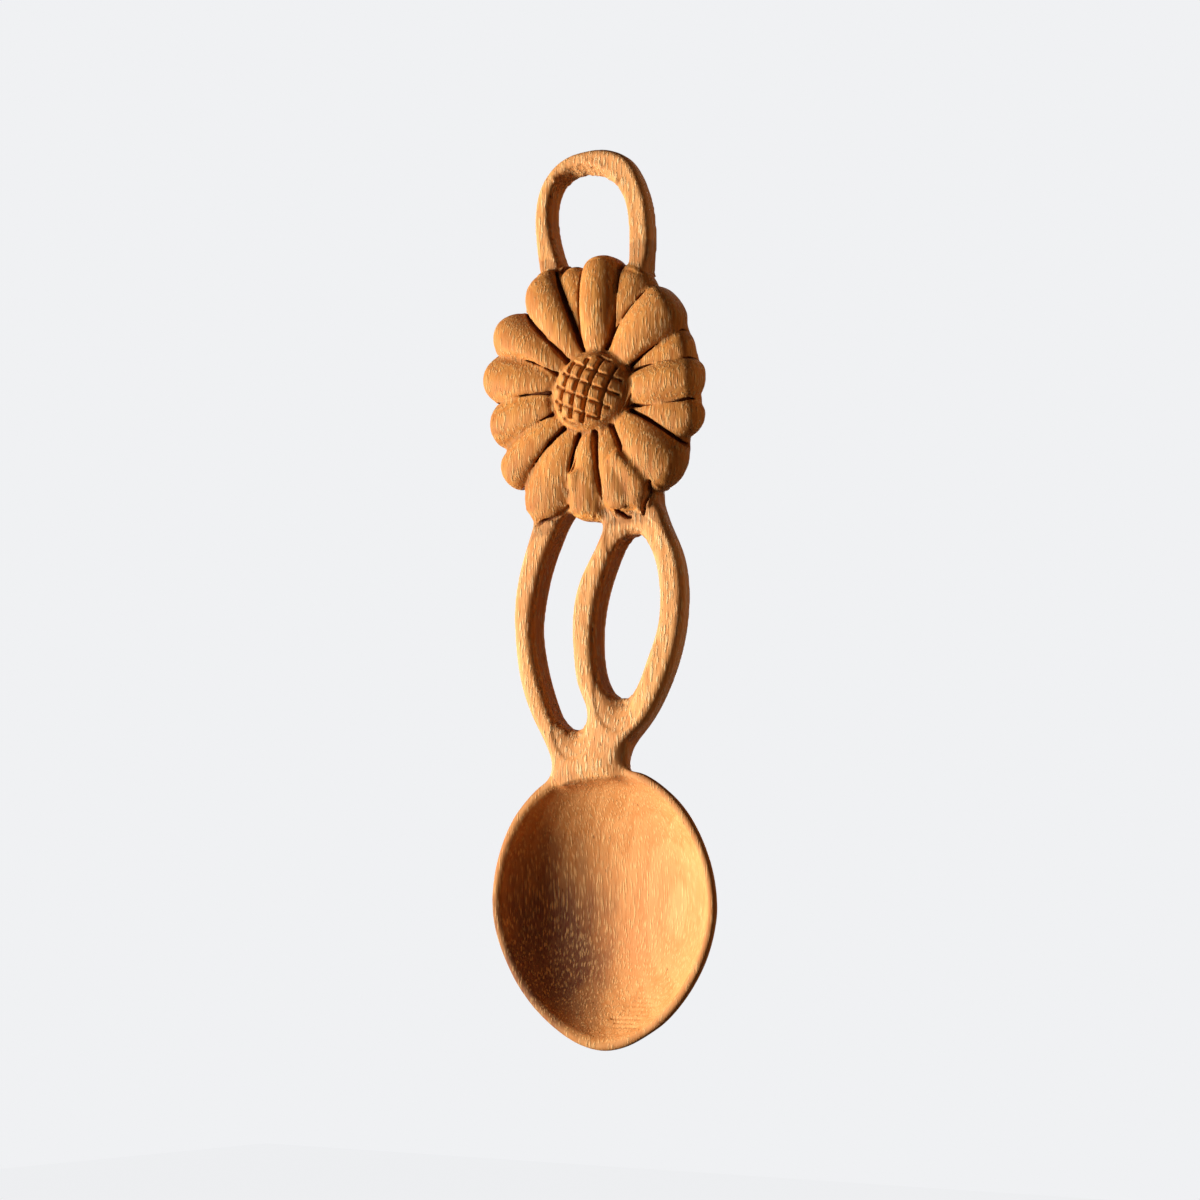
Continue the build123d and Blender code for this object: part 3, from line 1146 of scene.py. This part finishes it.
@dataclass
class Bowl(Carving):
    """Egg shaped bowl, scraped smooth, with scratches across the grain at its foot.

    Args:
        lip: half width and half height of the place where the neck runs over into the hollow.
        lip_softness: blur that rounds it, in millimetres.
        scratch_low: lowest scratch in the hollow's foot: X of its middle and Z.
        scratch_high: the highest one.
        scratch_count: number of scratches.
        scratch_length: length of the longest.
        scratch_shift: how far a scratch lies to the side of its place.
        scratch_size: width and depth of a scratch, and how far the hand strays.
    """

    lip: tuple[float, float] = (9.0, 2.8)
    lip_softness: float = 1.9
    scratch_low: tuple[float, float] = (5.5, -170.0)
    scratch_high: tuple[float, float] = (8.0, -164.5)
    scratch_count: int = 8
    scratch_length: float = 9.0
    scratch_shift: float = 1.5
    scratch_size: tuple[float, float, float] = (0.6, 0.2, 0.05)

    def detail(self, wood: Block, stock: Stock) -> None:
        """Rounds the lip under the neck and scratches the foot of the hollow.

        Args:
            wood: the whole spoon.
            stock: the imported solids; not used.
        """
        low, high = box_mm("bowl")
        middle = (low[0] + high[0]) / 2
        place = wood.part((middle - 24, low[1] - 1, high[2] - 12), (middle + 24, 6, high[2] + 8))
        x, _, z = place.axes()
        near = np.exp(
            -(((x - middle) / self.lip[0]) ** 4) - ((z - high[2] + 1) / self.lip[1]) ** 2
        )
        soft = blurred(place.values, self.lip_softness)
        place.values[...] += (soft - place.values) * near
        self.scratch(wood)

    def scratch(self, wood: Block) -> None:
        """Scratches the foot of the hollow across the grain.

        Args:
            wood: the whole spoon.
        """
        random = np.random.default_rng(51)
        lines = []
        for share in np.linspace(0, 1, self.scratch_count):
            across, up = (
                a + (b - a) * share for a, b in zip(self.scratch_low, self.scratch_high)
            )
            half = self.scratch_length / 2 * random.uniform(0.5, 1)
            shift = random.uniform(-self.scratch_shift, self.scratch_shift)
            steps = np.linspace(-1, 1, 12)
            xs = across + shift + steps * half
            ys = self.floor_level(wood, xs, np.full(len(steps), up))
            widths = 0.3 + 0.7 * np.cos(steps * math.pi / 2)
            lines.append([
                (x, y, up + 0.08 * shift, width) for x, y, width in zip(xs, ys, widths)
            ])
        Gouge("scratch", *self.scratch_size, lines).cut(wood)

    def floor_level(self, wood: Block, xs: np.ndarray, zs: np.ndarray) -> np.ndarray:
        """Y of the hollow's floor under points of the front.

        Args:
            wood: the whole spoon.
            xs: places along X, in millimetres.
            zs: places along Z.

        Returns:
            The first Y, from the front, at which there is wood.
        """
        depths = np.arange(wood.low[1], wood.high[1]) * STEP
        grid = np.stack(
            [np.repeat(xs, len(depths)), np.tile(depths, len(xs)), np.repeat(zs, len(depths))], 1
        )
        values = wood.at(grid).reshape(len(xs), -1)
        first = np.argmax(values < 0, axis=1)
        rows = np.arange(len(xs))
        air, inside = values[rows, first - 1], values[rows, first]
        levels = depths[first] - STEP * inside / (inside - air)
        return np.polyval(np.polyfit(xs, levels, 2), xs)


@dataclass
class Spoon:
    """The whole carving.

    Args:
        fillet: width of the fillet where sub-assemblies meet, in millimetres.
        facet: height of the low waves that the knife leaves, in millimetres.
        facet_size: their size along X, Y and Z.
        softening: blur that takes the last sharpness off, in millimetres.
        adaptivity: how far flat areas are meshed with larger faces, 0 to 1.
        recess: blur that shows the hollows, and the depth there that counts in full.
        torn: the same for torn fibre.
        shelter: distances ahead of the surface at which other wood shelters it.
        stock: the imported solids.
        sections: the sub-assemblies, from the top down.
    """

    fillet: float = 0.35
    facet: float = 0.1
    facet_size: tuple[float, float, float] = (5, 5, 9)
    softening: float = 0.12
    adaptivity: float = 0.004
    recess: tuple[float, float] = (1.0, 0.45)
    torn: tuple[float, float] = (0.4, 0.12)
    shelter: tuple[float, ...] = (5, 8, 11, 14, 17)
    stock: Stock = field(default_factory=Stock)
    sections: list[Carving] = field(default_factory=list)

    def plan(self) -> None:
        """Shares the nodes out among the sub-assemblies."""
        nodes = sorted(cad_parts)
        petals = [name for name in nodes if name.startswith("petal")]
        stems = [name for name in nodes if name.startswith("stem")]
        disc = Disc(["flower_disc", "disc_border"], tone=Tone.DEEP)
        self.sections = [
            HangingLoop(["hanging_loop"]),
            Flower(["flower_back"] + petals, tone=Tone.DEEP, disc=disc),
            disc,
            Handle(stems + ["neck"], fill=1.5, wear=1.4, tuck=2.6),
            Bowl(["bowl"], fill=1.5, wear=0.35, tone=Tone.SCRAPED),
        ]

    def carve(self) -> Block:
        """Works every sub-assembly and joins them.

        Returns:
            The whole spoon.
        """
        self.stock.measure()
        loop, flower, disc, handle, bowl = self.sections
        flower_nodes = flower.nodes + disc.nodes
        forms = [
            loop.form(self.stock, flower_nodes),
            flower.form(self.stock, []),
            handle.form(self.stock, flower_nodes + bowl.nodes),
            bowl.form(self.stock, handle.nodes),
        ]
        wood = joined(forms, self.fillet)
        wood.values += uneven(wood, self.facet_size, 1) * np.float32(self.facet)
        for section in self.sections:
            section.detail(wood, self.stock)
        wood.values = blurred(wood.values, self.softening)
        return wood

    def owners(self, places: np.ndarray) -> np.ndarray:
        """The node that each place of the skin belongs to.

        Args:
            places: points in millimetres.

        Returns:
            One name for each.
        """
        names = np.array(sorted(self.stock.parts))
        best = np.full(len(places), np.inf)
        owner = np.zeros(len(places), int)
        for index, name in enumerate(names):
            part = self.stock.parts[name]
            inside = (places > (part.low + 1) * STEP) & (places < (part.high - 2) * STEP)
            near = np.flatnonzero(inside.all(1))
            found = part.at(places[near])
            closer = found < best[near]
            best[near[closer]] = found[closer]
            owner[near[closer]] = index
        return names[owner]

    def skin(self, wood: Block) -> Skin:
        """Meshes the wood and reads its normals and marks.

        Args:
            wood: the whole spoon.

        Returns:
            Its skin, still in one piece.
        """
        shell = wood.surface(adaptivity=self.adaptivity)
        slopes = []
        for axis in range(3):
            shift = np.eye(3)[axis] * STEP
            slopes.append(wood.at(shell.points + shift) - wood.at(shell.points - shift))
        normals = np.stack(slopes, 1)
        normals /= np.maximum(np.linalg.norm(normals, axis=1, keepdims=True), 1e-9)
        # A blurred field is below 0 on the old surface in hollows, and off 0 where it is rough
        shifts = [
            Block(wood.low, blurred(wood.values, width)).at(shell.points) / full
            for width, full in (self.recess, self.torn)
        ]
        recess, torn = np.clip(-shifts[0], 0, 1), np.clip(np.abs(shifts[1]), 0, 1)
        # How close other wood stands ahead of each point; the material paints shade there
        sheltered = np.zeros(len(shell.points))
        for reach in self.shelter:
            ahead = wood.at(shell.points + normals * reach)
            sheltered = np.maximum(sheltered, np.clip(1 - ahead / BAND, 0, 1))
        owners = [self.owners(shell.points[kind].mean(1)) for kind in shell.faces]
        log.info("skin: %d points, %s faces", len(shell.points), [len(k) for k in shell.faces])
        return Skin(shell.points, shell.faces, owners, normals, recess, torn, sheltered)

    def dress(self, skin: Skin, finishes: dict[Tone, bpy.types.Material]) -> None:
        """Makes the pieces of every sub-assembly.

        Args:
            skin: the skin of the wood.
            finishes: the material for each tone.
        """
        for section in self.sections:
            made = section.dress(skin, finishes[section.tone])
            log.info("%s: %d pieces", type(section).__name__, len(made))


# Finishes


def linear(code: str) -> tuple[float, float, float, float]:
    """Linear colour with full alpha from an sRGB hex code.

    Args:
        code: six hex digits, such as "de9459".

    Returns:
        Red, green, blue and alpha.
    """
    shares = [int(code[i:i + 2], 16) / 255 for i in (0, 2, 4)]
    values = [s / 12.92 if s <= 0.04045 else ((s + 0.055) / 1.055) ** 2.4 for s in shares]
    return (*values, 1.0)


def add_node(
    tree: bpy.types.NodeTree,
    kind: str,
    settings: dict | None = None,
    links: dict | None = None,
) -> bpy.types.Node:
    """Adds a node with its settings and links.

    Args:
        tree: the node tree.
        kind: the node's type.
        settings: attribute names, or socket names and indices, with their values.
        links: socket names or indices, with the output sockets that feed them.

    Returns:
        The node.
    """
    node = tree.nodes.new(kind)
    for key, value in (settings or {}).items():
        if isinstance(key, str) and hasattr(node, key):
            setattr(node, key, value)
        else:
            node.inputs[key].default_value = value
    for key, output in (links or {}).items():
        tree.links.new(output, node.inputs[key])
    return node


@dataclass(frozen=True)
class OiledCherry:
    """Oiled cherry, knife carved: warm orange brown, with pale fibres that run up the spoon.

    The pattern is solid, so that fibres show as streaks along the grain and as dots where the
    knife went across it, as on the real one. They are as wide as the photograph shows them, which
    is wider than the fibres of the tree.

    Args:
        name: the material's name.
        pale: colour of the early wood.
        deep: colour of the late wood.
        blush: colour of the redder patches.
        fleck: colour of the pale fibres.
        pore: colour of the dark vessels.
        shade: colour of the painted shade in hollows, creases and on sheltered walls, and of torn
            fibre.
        ring_mm: distance between growth rings.
        fibre_mm: width of a pale fibre.
        fibre_length_mm: its length.
        pore_mm: distance between dark vessels.
        tilt: degrees that the grain leans out of the spoon's length, about X, Y and Z.
        fleck_share: how much of the pale fibres' colour shows.
        relief_mm: height at which they stand out.
        cloud: middle and half sizes of the dark patch in the hollow, in millimetres; it is partly
            guessed darker core wood and partly painted shade.
        cloud_colour: its colour.
        ring_normal: X, Y and Z of the way in which the rings follow each other.
        ring_lumps: size of their waves across the grain and along it, in millimetres.
        ring_sway: how many rings' width they wander.
        ring_tones: how deep the colour is in early and in late wood.
        ring_late: share of a year's growth at which the wood is deepest.
        patch_lumps: size of the redder patches across the grain and along it.
        cloud_lumps: size of the tongues at the dark patch's border, in the same way.
        cloud_ragged: how far they go in, as a share of the cloud's size.
        gloss: how much light the oiled surface throws back like a mirror.
        streak_share: how much of a pale streak shows between its flecks.
        core_span: distance from a fibre's middle to paleness.
        streak_span: texture to paleness.
        pore_span: distance from a vessel's middle to darkness.
        blush_span: texture to redness.
        cloud_span: distance from the dark patch's middle to its darkness.
        front_span: how squarely a face looks forwards to the dark patch's share in it, which keeps
            the painted shade off the back.
        recess_span: depth in a hollow or crease to painted shade.
        torn_span: torn fibre to darkness.
        shelter_span: shelter by other wood to painted shade.
        rough_span: torn fibre to roughness.
    """

    name: str = "oiled_cherry"
    pale: str = "ffb469"
    deep: str = "dd8640"
    blush: str = "e48f50"
    fleck: str = "ffd092"
    pore: str = "7a3c18"
    shade: str = "5e2208"
    ring_mm: float = 1.3
    fibre_mm: float = 0.36
    fibre_length_mm: float = 2.6
    pore_mm: float = 2.4
    tilt: tuple[float, float, float] = (6.0, 3.0, 0.0)
    fleck_share: float = 0.88
    relief_mm: float = 0.14
    cloud: tuple[tuple[float, float, float], tuple[float, float, float]] | None = None
    cloud_colour: str = "62302c"
    ring_normal: tuple[float, float, float] = (0.45, 0.9, 0.0)
    ring_lumps: tuple[float, float] = (9, 45)
    ring_sway: float = 4.0
    ring_tones: tuple[float, float] = (0.1, 0.75)
    ring_late: float = 0.78
    patch_lumps: tuple[float, float] = (14, 26)
    cloud_lumps: tuple[float, float] = (4, 9)
    cloud_ragged: float = 0.7
    gloss: float = 0.1
    streak_share: float = 0.22
    core_span: Span = (0.5, 0.3, 0.0, 1.0)
    streak_span: Span = (0.38, 0.58, 0.0, 1.0)
    pore_span: Span = (0.08, 0.05, 0.0, 0.7)
    blush_span: Span = (0.45, 0.7, 0.0, 0.7)
    cloud_span: Span = (1.4, 0.8, 0.0, 0.85)
    front_span: Span = (0.1, 0.5, 0.0, 1.0)
    recess_span: Span = (0.1, 0.85, 0.0, 0.88)
    torn_span: Span = (0.3, 1.2, 0.0, 0.55)
    shelter_span: Span = (0.15, 1.0, 0.0, 0.56)
    rough_span: Span = (0.2, 1.0, 0.6, 0.75)

    def along_grain(
        self,
        tree: bpy.types.NodeTree,
        place: bpy.types.NodeSocket,
        kind: str,
        size: tuple[float, float],
        settings: dict | None = None,
    ) -> bpy.types.Node:
        """Adds a texture that is drawn out along the grain.

        Args:
            tree: the node tree.
            place: where the texture is read.
            kind: the texture node's type.
            size: size of its lumps across the grain and along it, in millimetres.
            settings: the texture's own settings.

        Returns:
            The texture node.
        """
        wide, long = size
        lumps = {
            "vector_type": "TEXTURE", "Scale": (wide * MM, wide * MM, long * MM),
            "Rotation": [math.radians(angle) for angle in self.tilt],
        }
        local = add_node(tree, "ShaderNodeMapping", lumps, {0: place}).outputs[0]
        return add_node(tree, kind, {"Scale": 1.0, **(settings or {})}, {"Vector": local})

    def rings(
        self, tree: bpy.types.NodeTree, place: bpy.types.NodeSocket
    ) -> bpy.types.NodeSocket:
        """Growth rings, nearly parallel to the front: 0 in early wood, 1 in late wood.

        Args:
            tree: the node tree.
            place: where the rings are read.

        Returns:
            How late in its year the wood grew.
        """
        sway = self.along_grain(
            tree, place, "ShaderNodeTexNoise", self.ring_lumps, {"Detail": 2.0}
        )
        normal = [share / (self.ring_mm * MM) for share in self.ring_normal]
        across = add_node(
            tree, "ShaderNodeVectorMath", {"operation": "DOT_PRODUCT", 1: normal}, {0: place}
        )
        bent = add_node(
            tree, "ShaderNodeMath", {"operation": "MULTIPLY_ADD", 1: self.ring_sway},
            {0: sway.outputs[0], 2: across.outputs["Value"]},
        )
        saw = add_node(tree, "ShaderNodeMath", {"operation": "FRACT"}, {0: bent.outputs[0]})
        # The wood darkens slowly through a year, and is pale again soon after
        ramp = add_node(tree, "ShaderNodeValToRGB", links={0: saw.outputs[0]})
        stops = ramp.color_ramp.elements
        early, late = ((tone, tone, tone, 1) for tone in self.ring_tones)
        stops[0].position, stops[1].position = 0.0, self.ring_late
        stops[0].color, stops[1].color = early, late
        stops.new(1.0).color = early
        return ramp.outputs[0]

    def heartwood_and_shade(
        self, tree: bpy.types.NodeTree, place: bpy.types.NodeSocket
    ) -> dict[str, tuple[bpy.types.NodeSocket, Span]]:
        """A soft dark cloud in the hollow, on the faces that look forwards: partly guessed darker
        core wood, partly painted shade.

        Args:
            tree: the node tree.
            place: where the cloud is read.

        Returns:
            How far a place is from its middle and how a face looks, with their spans.
        """
        middle, half = ([size * MM for size in sizes] for sizes in self.cloud)
        local = add_node(
            tree, "ShaderNodeMapping",
            {"vector_type": "TEXTURE", "Location": middle, "Scale": half}, {0: place},
        )
        distance = add_node(
            tree, "ShaderNodeVectorMath", {"operation": "LENGTH"}, {0: local.outputs[0]}
        )
        ragged = self.along_grain(
            tree, place, "ShaderNodeTexNoise", self.cloud_lumps, {"Detail": 3.0}
        )
        edge = add_node(
            tree, "ShaderNodeMath", {"operation": "MULTIPLY_ADD", 1: self.cloud_ragged},
            {0: ragged.outputs[0], 2: distance.outputs["Value"]},
        )
        normal = add_node(tree, "ShaderNodeNewGeometry").outputs["Normal"]
        facing = add_node(
            tree, "ShaderNodeVectorMath", {"operation": "DOT_PRODUCT", 1: (0, -1, 0)}, {0: normal}
        )
        return {
            "cloud": (edge.outputs[0], self.cloud_span),
            "front": (facing.outputs["Value"], self.front_span),
        }

    def marks(
        self, tree: bpy.types.NodeTree, place: bpy.types.NodeSocket
    ) -> dict[str, bpy.types.NodeSocket]:
        """Reads the textures and the marks of the skin.

        Args:
            tree: the node tree.
            place: where the textures are read.

        Returns:
            How strong each mark is, by its name.
        """
        fibre, length, pore = self.fibre_mm, self.fibre_length_mm, self.pore_mm
        cells = self.along_grain(tree, place, "ShaderNodeTexVoronoi", (fibre * 1.5, length))
        streaks = self.along_grain(
            tree, place, "ShaderNodeTexNoise", (fibre, length * 4),
            {"Detail": 3.0, "Roughness": 0.6},
        )
        vessels = self.along_grain(tree, place, "ShaderNodeTexVoronoi", (pore, pore * 3))
        patches = self.along_grain(
            tree, place, "ShaderNodeTexNoise", self.patch_lumps, {"Detail": 2.0}
        )
        recess, torn, sheltered = (
            add_node(tree, "ShaderNodeAttribute", {"attribute_name": name}).outputs["Fac"]
            for name in ("recess", "torn", "sheltered")
        )
        readings = {
            "core": (cells.outputs["Distance"], self.core_span),
            "streak": (streaks.outputs[0], self.streak_span),
            "pore": (vessels.outputs["Distance"], self.pore_span),
            "blush": (patches.outputs[0], self.blush_span),
            "recess": (recess, self.recess_span),
            "torn": (torn, self.torn_span),
            "shelter": (sheltered, self.shelter_span),
            "rough": (torn, self.rough_span),
        }
        if self.cloud:
            readings |= self.heartwood_and_shade(tree, place)
        return {
            name: add_node(
                tree, "ShaderNodeMapRange", dict(zip(SPAN_SOCKETS, span)), {"Value": value}
            ).outputs[0]
            for name, (value, span) in readings.items()
        }

    def material(self) -> bpy.types.Material:
        """Builds the node tree: colour layers, then relief and roughness.

        Returns:
            The material.
        """
        material = bpy.data.materials.new(self.name)
        material.use_nodes = True
        tree = material.node_tree
        tree.nodes.clear()
        place = add_node(tree, "ShaderNodeTexCoord").outputs["Object"]
        marks = self.marks(tree, place)
        fleck = add_node(
            tree, "ShaderNodeMath", {"operation": "MULTIPLY"},
            {0: marks["core"], 1: marks["streak"]},
        )
        fibres = add_node(
            tree, "ShaderNodeMath", {"operation": "MULTIPLY_ADD", 1: self.streak_share},
            {0: marks["streak"], 2: fleck.outputs[0]},
        ).outputs[0]
        light = add_node(
            tree, "ShaderNodeMath", {"operation": "MULTIPLY", 1: self.fleck_share}, {0: fibres}
        )
        # Painted shade in hollows and creases, and darker torn fibre
        dark = add_node(
            tree, "ShaderNodeMath", {"operation": "MAXIMUM"},
            {0: marks["recess"], 1: marks["torn"]},
        )
        layers = [(self.rings(tree, place), self.deep), (marks["blush"], self.blush)]
        # The dark patch in the hollow is partly guessed darker core wood and partly painted shade
        if self.cloud:
            heart_and_shade = add_node(
                tree, "ShaderNodeMath", {"operation": "MULTIPLY"},
                {0: marks["cloud"], 1: marks["front"]},
            )
            layers.append((heart_and_shade.outputs[0], self.cloud_colour))
        # Painted shade on walls that other wood stands close in front of, then in hollows and
        # creases
        layers += [
            (light.outputs[0], self.fleck), (marks["pore"], self.pore),
            (marks["shelter"], self.shade), (dark.outputs[0], self.shade),
        ]
        # Every layer lies over the ones before it, and the first one over the pale wood
        below = {}
        for share, code in layers:
            colours = {"data_type": "RGBA", 6: linear(self.pale), 7: linear(code)}
            below = {6: add_node(tree, "ShaderNodeMix", colours, {0: share, **below}).outputs[2]}
        bump = add_node(
            tree, "ShaderNodeBump", {"Strength": 0.9, "Distance": self.relief_mm * MM},
            {"Height": fibres},
        )
        shader = add_node(
            tree, "ShaderNodeBsdfPrincipled", {"IOR": 1.46, "Specular IOR Level": self.gloss},
            {"Base Color": below[6], "Roughness": marks["rough"], "Normal": bump.outputs[0]},
        )
        add_node(tree, "ShaderNodeOutputMaterial", links={0: shader.outputs[0]})
        return material


# Stage


@dataclass(frozen=True)
class Lamp:
    """A soft square lamp that faces the spoon.

    Args:
        name: the lamp's name.
        azimuth: degrees to the right of the front.
        elevation: degrees above the spoon's middle.
        distance: from the spoon's middle, in millimetres.
        size: length of a side, in millimetres.
        strength: light on a surface that faces it, where 1 shows a colour as it is written.
        colour: the lamp's colour.
    """

    name: str
    azimuth: float
    elevation: float
    distance: float
    size: float
    strength: float
    colour: str = "ffffff"

    def build(self, target: Vector) -> None:
        """Adds the lamp.

        Args:
            target: what it faces, in millimetres.
        """
        lamp = bpy.data.lights.new(self.name, "AREA")
        lamp.color = linear(self.colour)[:3]
        lamp.size = self.size * MM
        lamp.energy = self.strength * (math.pi * self.distance * MM) ** 2
        holder = bpy.data.objects.new(self.name, lamp)
        out = heading(self.azimuth, self.elevation)
        holder.location = (target + out * self.distance) * MM
        holder.rotation_euler = out.to_track_quat("Z", "Y").to_euler()
        bpy.context.scene.collection.objects.link(holder)


def heading(azimuth: float, elevation: float) -> Vector:
    """Direction from the spoon, by degrees to the right of the front and degrees up.

    Args:
        azimuth: degrees to the right of the front.
        elevation: degrees up.

    Returns:
        A unit vector.
    """
    side, lift = math.radians(azimuth), math.radians(elevation)
    return Vector(
        (math.sin(side) * math.cos(lift), -math.cos(side) * math.cos(lift), math.sin(lift))
    )


@dataclass(frozen=True)
class Studio:
    """Pale floor, soft light from the left and the photograph's camera, in millimetres.

    Args:
        backdrop: colour that the camera sees behind the spoon.
        room: strength of the light from all round.
        room_colour: its colour.
        target: place that the camera looks at.
        distance: from the camera to that place.
        azimuth: degrees that the camera stands to the right of the front.
        elevation: degrees that it stands above the target.
        lens: focal length on a 36 mm sensor.
        floor_level: height of the floor.
        floor_size: length of its side.
        floor_paper: share of the backdrop's colour in the floor; the rest takes the shadow.
        paper_strength: how brightly that share shows.
        lamps: key from the left front, a warm fill from the right and a small lamp behind.
    """

    backdrop: str = "f0f1f3"
    room: float = 0.012
    room_colour: tuple[float, float, float, float] = (1.0, 0.97, 0.94, 1.0)
    target: tuple[float, float, float] = (-0.6, 0.0, -86.6)
    distance: float = 480.0
    azimuth: float = 36.0
    elevation: float = -8.0
    lens: float = 72.53
    floor_level: float = -420.0
    floor_size: float = 4000.0
    floor_paper: float = 0.93
    paper_strength: float = 1.05
    lamps: tuple[Lamp, ...] = (
        Lamp("key", -59, -5, 900, 280, 2.2),
        Lamp("side", 95, 3, 900, 200, 0.16, "ffc890"),
        Lamp("back", 205, 3, 900, 80, 0.7),
    )

    def build(self) -> None:
        """Makes the world, the floor, the lamps and the camera."""
        self.make_world()
        self.make_floor()
        for lamp in self.lamps:
            lamp.build(Vector(self.target))
        self.make_camera()
        bpy.context.scene.view_settings.view_transform = "Standard"

    def make_world(self) -> None:
        """Plain light all round, and the backdrop's colour for the camera."""
        world = bpy.data.worlds.new("pale_room")
        bpy.context.scene.world = world
        world.use_nodes = True
        tree = world.node_tree
        tree.nodes.clear()
        room = add_node(
            tree, "ShaderNodeBackground",
            {"Color": self.room_colour, "Strength": self.room},
        )
        paper = add_node(tree, "ShaderNodeBackground", {"Color": linear(self.backdrop)})
        mix = add_node(
            tree, "ShaderNodeMixShader",
            links={0: self.seen(tree), 1: room.outputs[0], 2: paper.outputs[0]},
        )
        add_node(tree, "ShaderNodeOutputWorld", links={0: mix.outputs[0]})

    def seen(self, tree: bpy.types.NodeTree) -> bpy.types.NodeSocket:
        """1 for rays that show the backdrop: camera, glossy and transmission rays.

        Args:
            tree: the node tree.

        Returns:
            1 for those rays, 0 for the others.
        """
        path = add_node(tree, "ShaderNodeLightPath")
        glossy = add_node(
            tree, "ShaderNodeMath", {"operation": "MAXIMUM"},
            {0: path.outputs["Is Camera Ray"], 1: path.outputs["Is Glossy Ray"]},
        )
        both = add_node(
            tree, "ShaderNodeMath", {"operation": "MAXIMUM"},
            {0: glossy.outputs[0], 1: path.outputs["Is Transmission Ray"]},
        )
        return both.outputs[0]

    def make_floor(self) -> None:
        """A pale card under the hanging spoon, which takes its shadow."""
        mesh = bpy.data.meshes.new("floor")
        half, height = self.floor_size / 2 * MM, self.floor_level * MM
        corners = [(-half, -half), (half, -half), (half, half), (-half, half)]
        mesh.from_pydata([(x, y, height) for x, y in corners], [], [(0, 1, 2, 3)])
        material = bpy.data.materials.new("pale_card")
        material.use_nodes = True
        tree = material.node_tree
        tree.nodes.clear()
        matt = add_node(tree, "ShaderNodeBsdfDiffuse", {"Color": linear(self.backdrop)})
        paper = add_node(
            tree, "ShaderNodeEmission",
            {"Color": linear(self.backdrop), "Strength": self.paper_strength},
        )
        share = add_node(
            tree, "ShaderNodeMath", {"operation": "MULTIPLY", 1: self.floor_paper},
            {0: self.seen(tree)},
        )
        mix = add_node(
            tree, "ShaderNodeMixShader",
            links={0: share.outputs[0], 1: matt.outputs[0], 2: paper.outputs[0]},
        )
        add_node(tree, "ShaderNodeOutputMaterial", links={0: mix.outputs[0]})
        mesh.materials.append(material)
        floor = bpy.data.objects.new("floor", mesh)
        bpy.context.scene.collection.objects.link(floor)
        # The card takes the shadow, but throws no light up at the spoon
        floor.visible_diffuse = False

    def make_camera(self) -> None:
        """Puts the camera at the photograph's angle."""
        out = heading(self.azimuth, self.elevation)
        lens = bpy.data.cameras.new("camera")
        lens.lens = self.lens
        lens.sensor_width = 36.0
        lens.clip_start, lens.clip_end = 0.01, 10.0
        holder = bpy.data.objects.new("camera", lens)
        holder.location = (Vector(self.target) + out * self.distance) * MM
        holder.rotation_euler = out.to_track_quat("Z", "Y").to_euler()
        bpy.context.scene.collection.objects.link(holder)
        bpy.context.scene.camera = holder


def main() -> None:
    """Carves the spoon, dresses it and sets the stage."""
    logging.basicConfig(level=logging.INFO, format="%(relativeCreated)d %(name)s %(message)s")
    spoon = Spoon()
    spoon.plan()
    wood = spoon.carve()
    log.info("carved: %s samples", wood.values.shape)
    finishes = {
        Tone.PALE: OiledCherry().material(),
        # The bowl's dark patch at the left of its hollow is partly guessed darker core wood,
        # partly painted shade
        Tone.SCRAPED: OiledCherry(
            "oiled_cherry_scraped", pale="eda25d", deep="d3803c", fleck="ffc880", ring_mm=2.6,
            fleck_share=0.62, fibre_mm=0.3, relief_mm=0.07, cloud=((-14, 1, -156), (16, 10, 25)),
        ).material(),
        Tone.DEEP: OiledCherry(
            "oiled_cherry_deep", pale="faa64e", deep="d0742a", blush="de8842", fleck="ffc67c"
        ).material(),
    }
    spoon.dress(spoon.skin(wood), finishes)
    Studio().build()


if __name__ == "__main__":
    main()
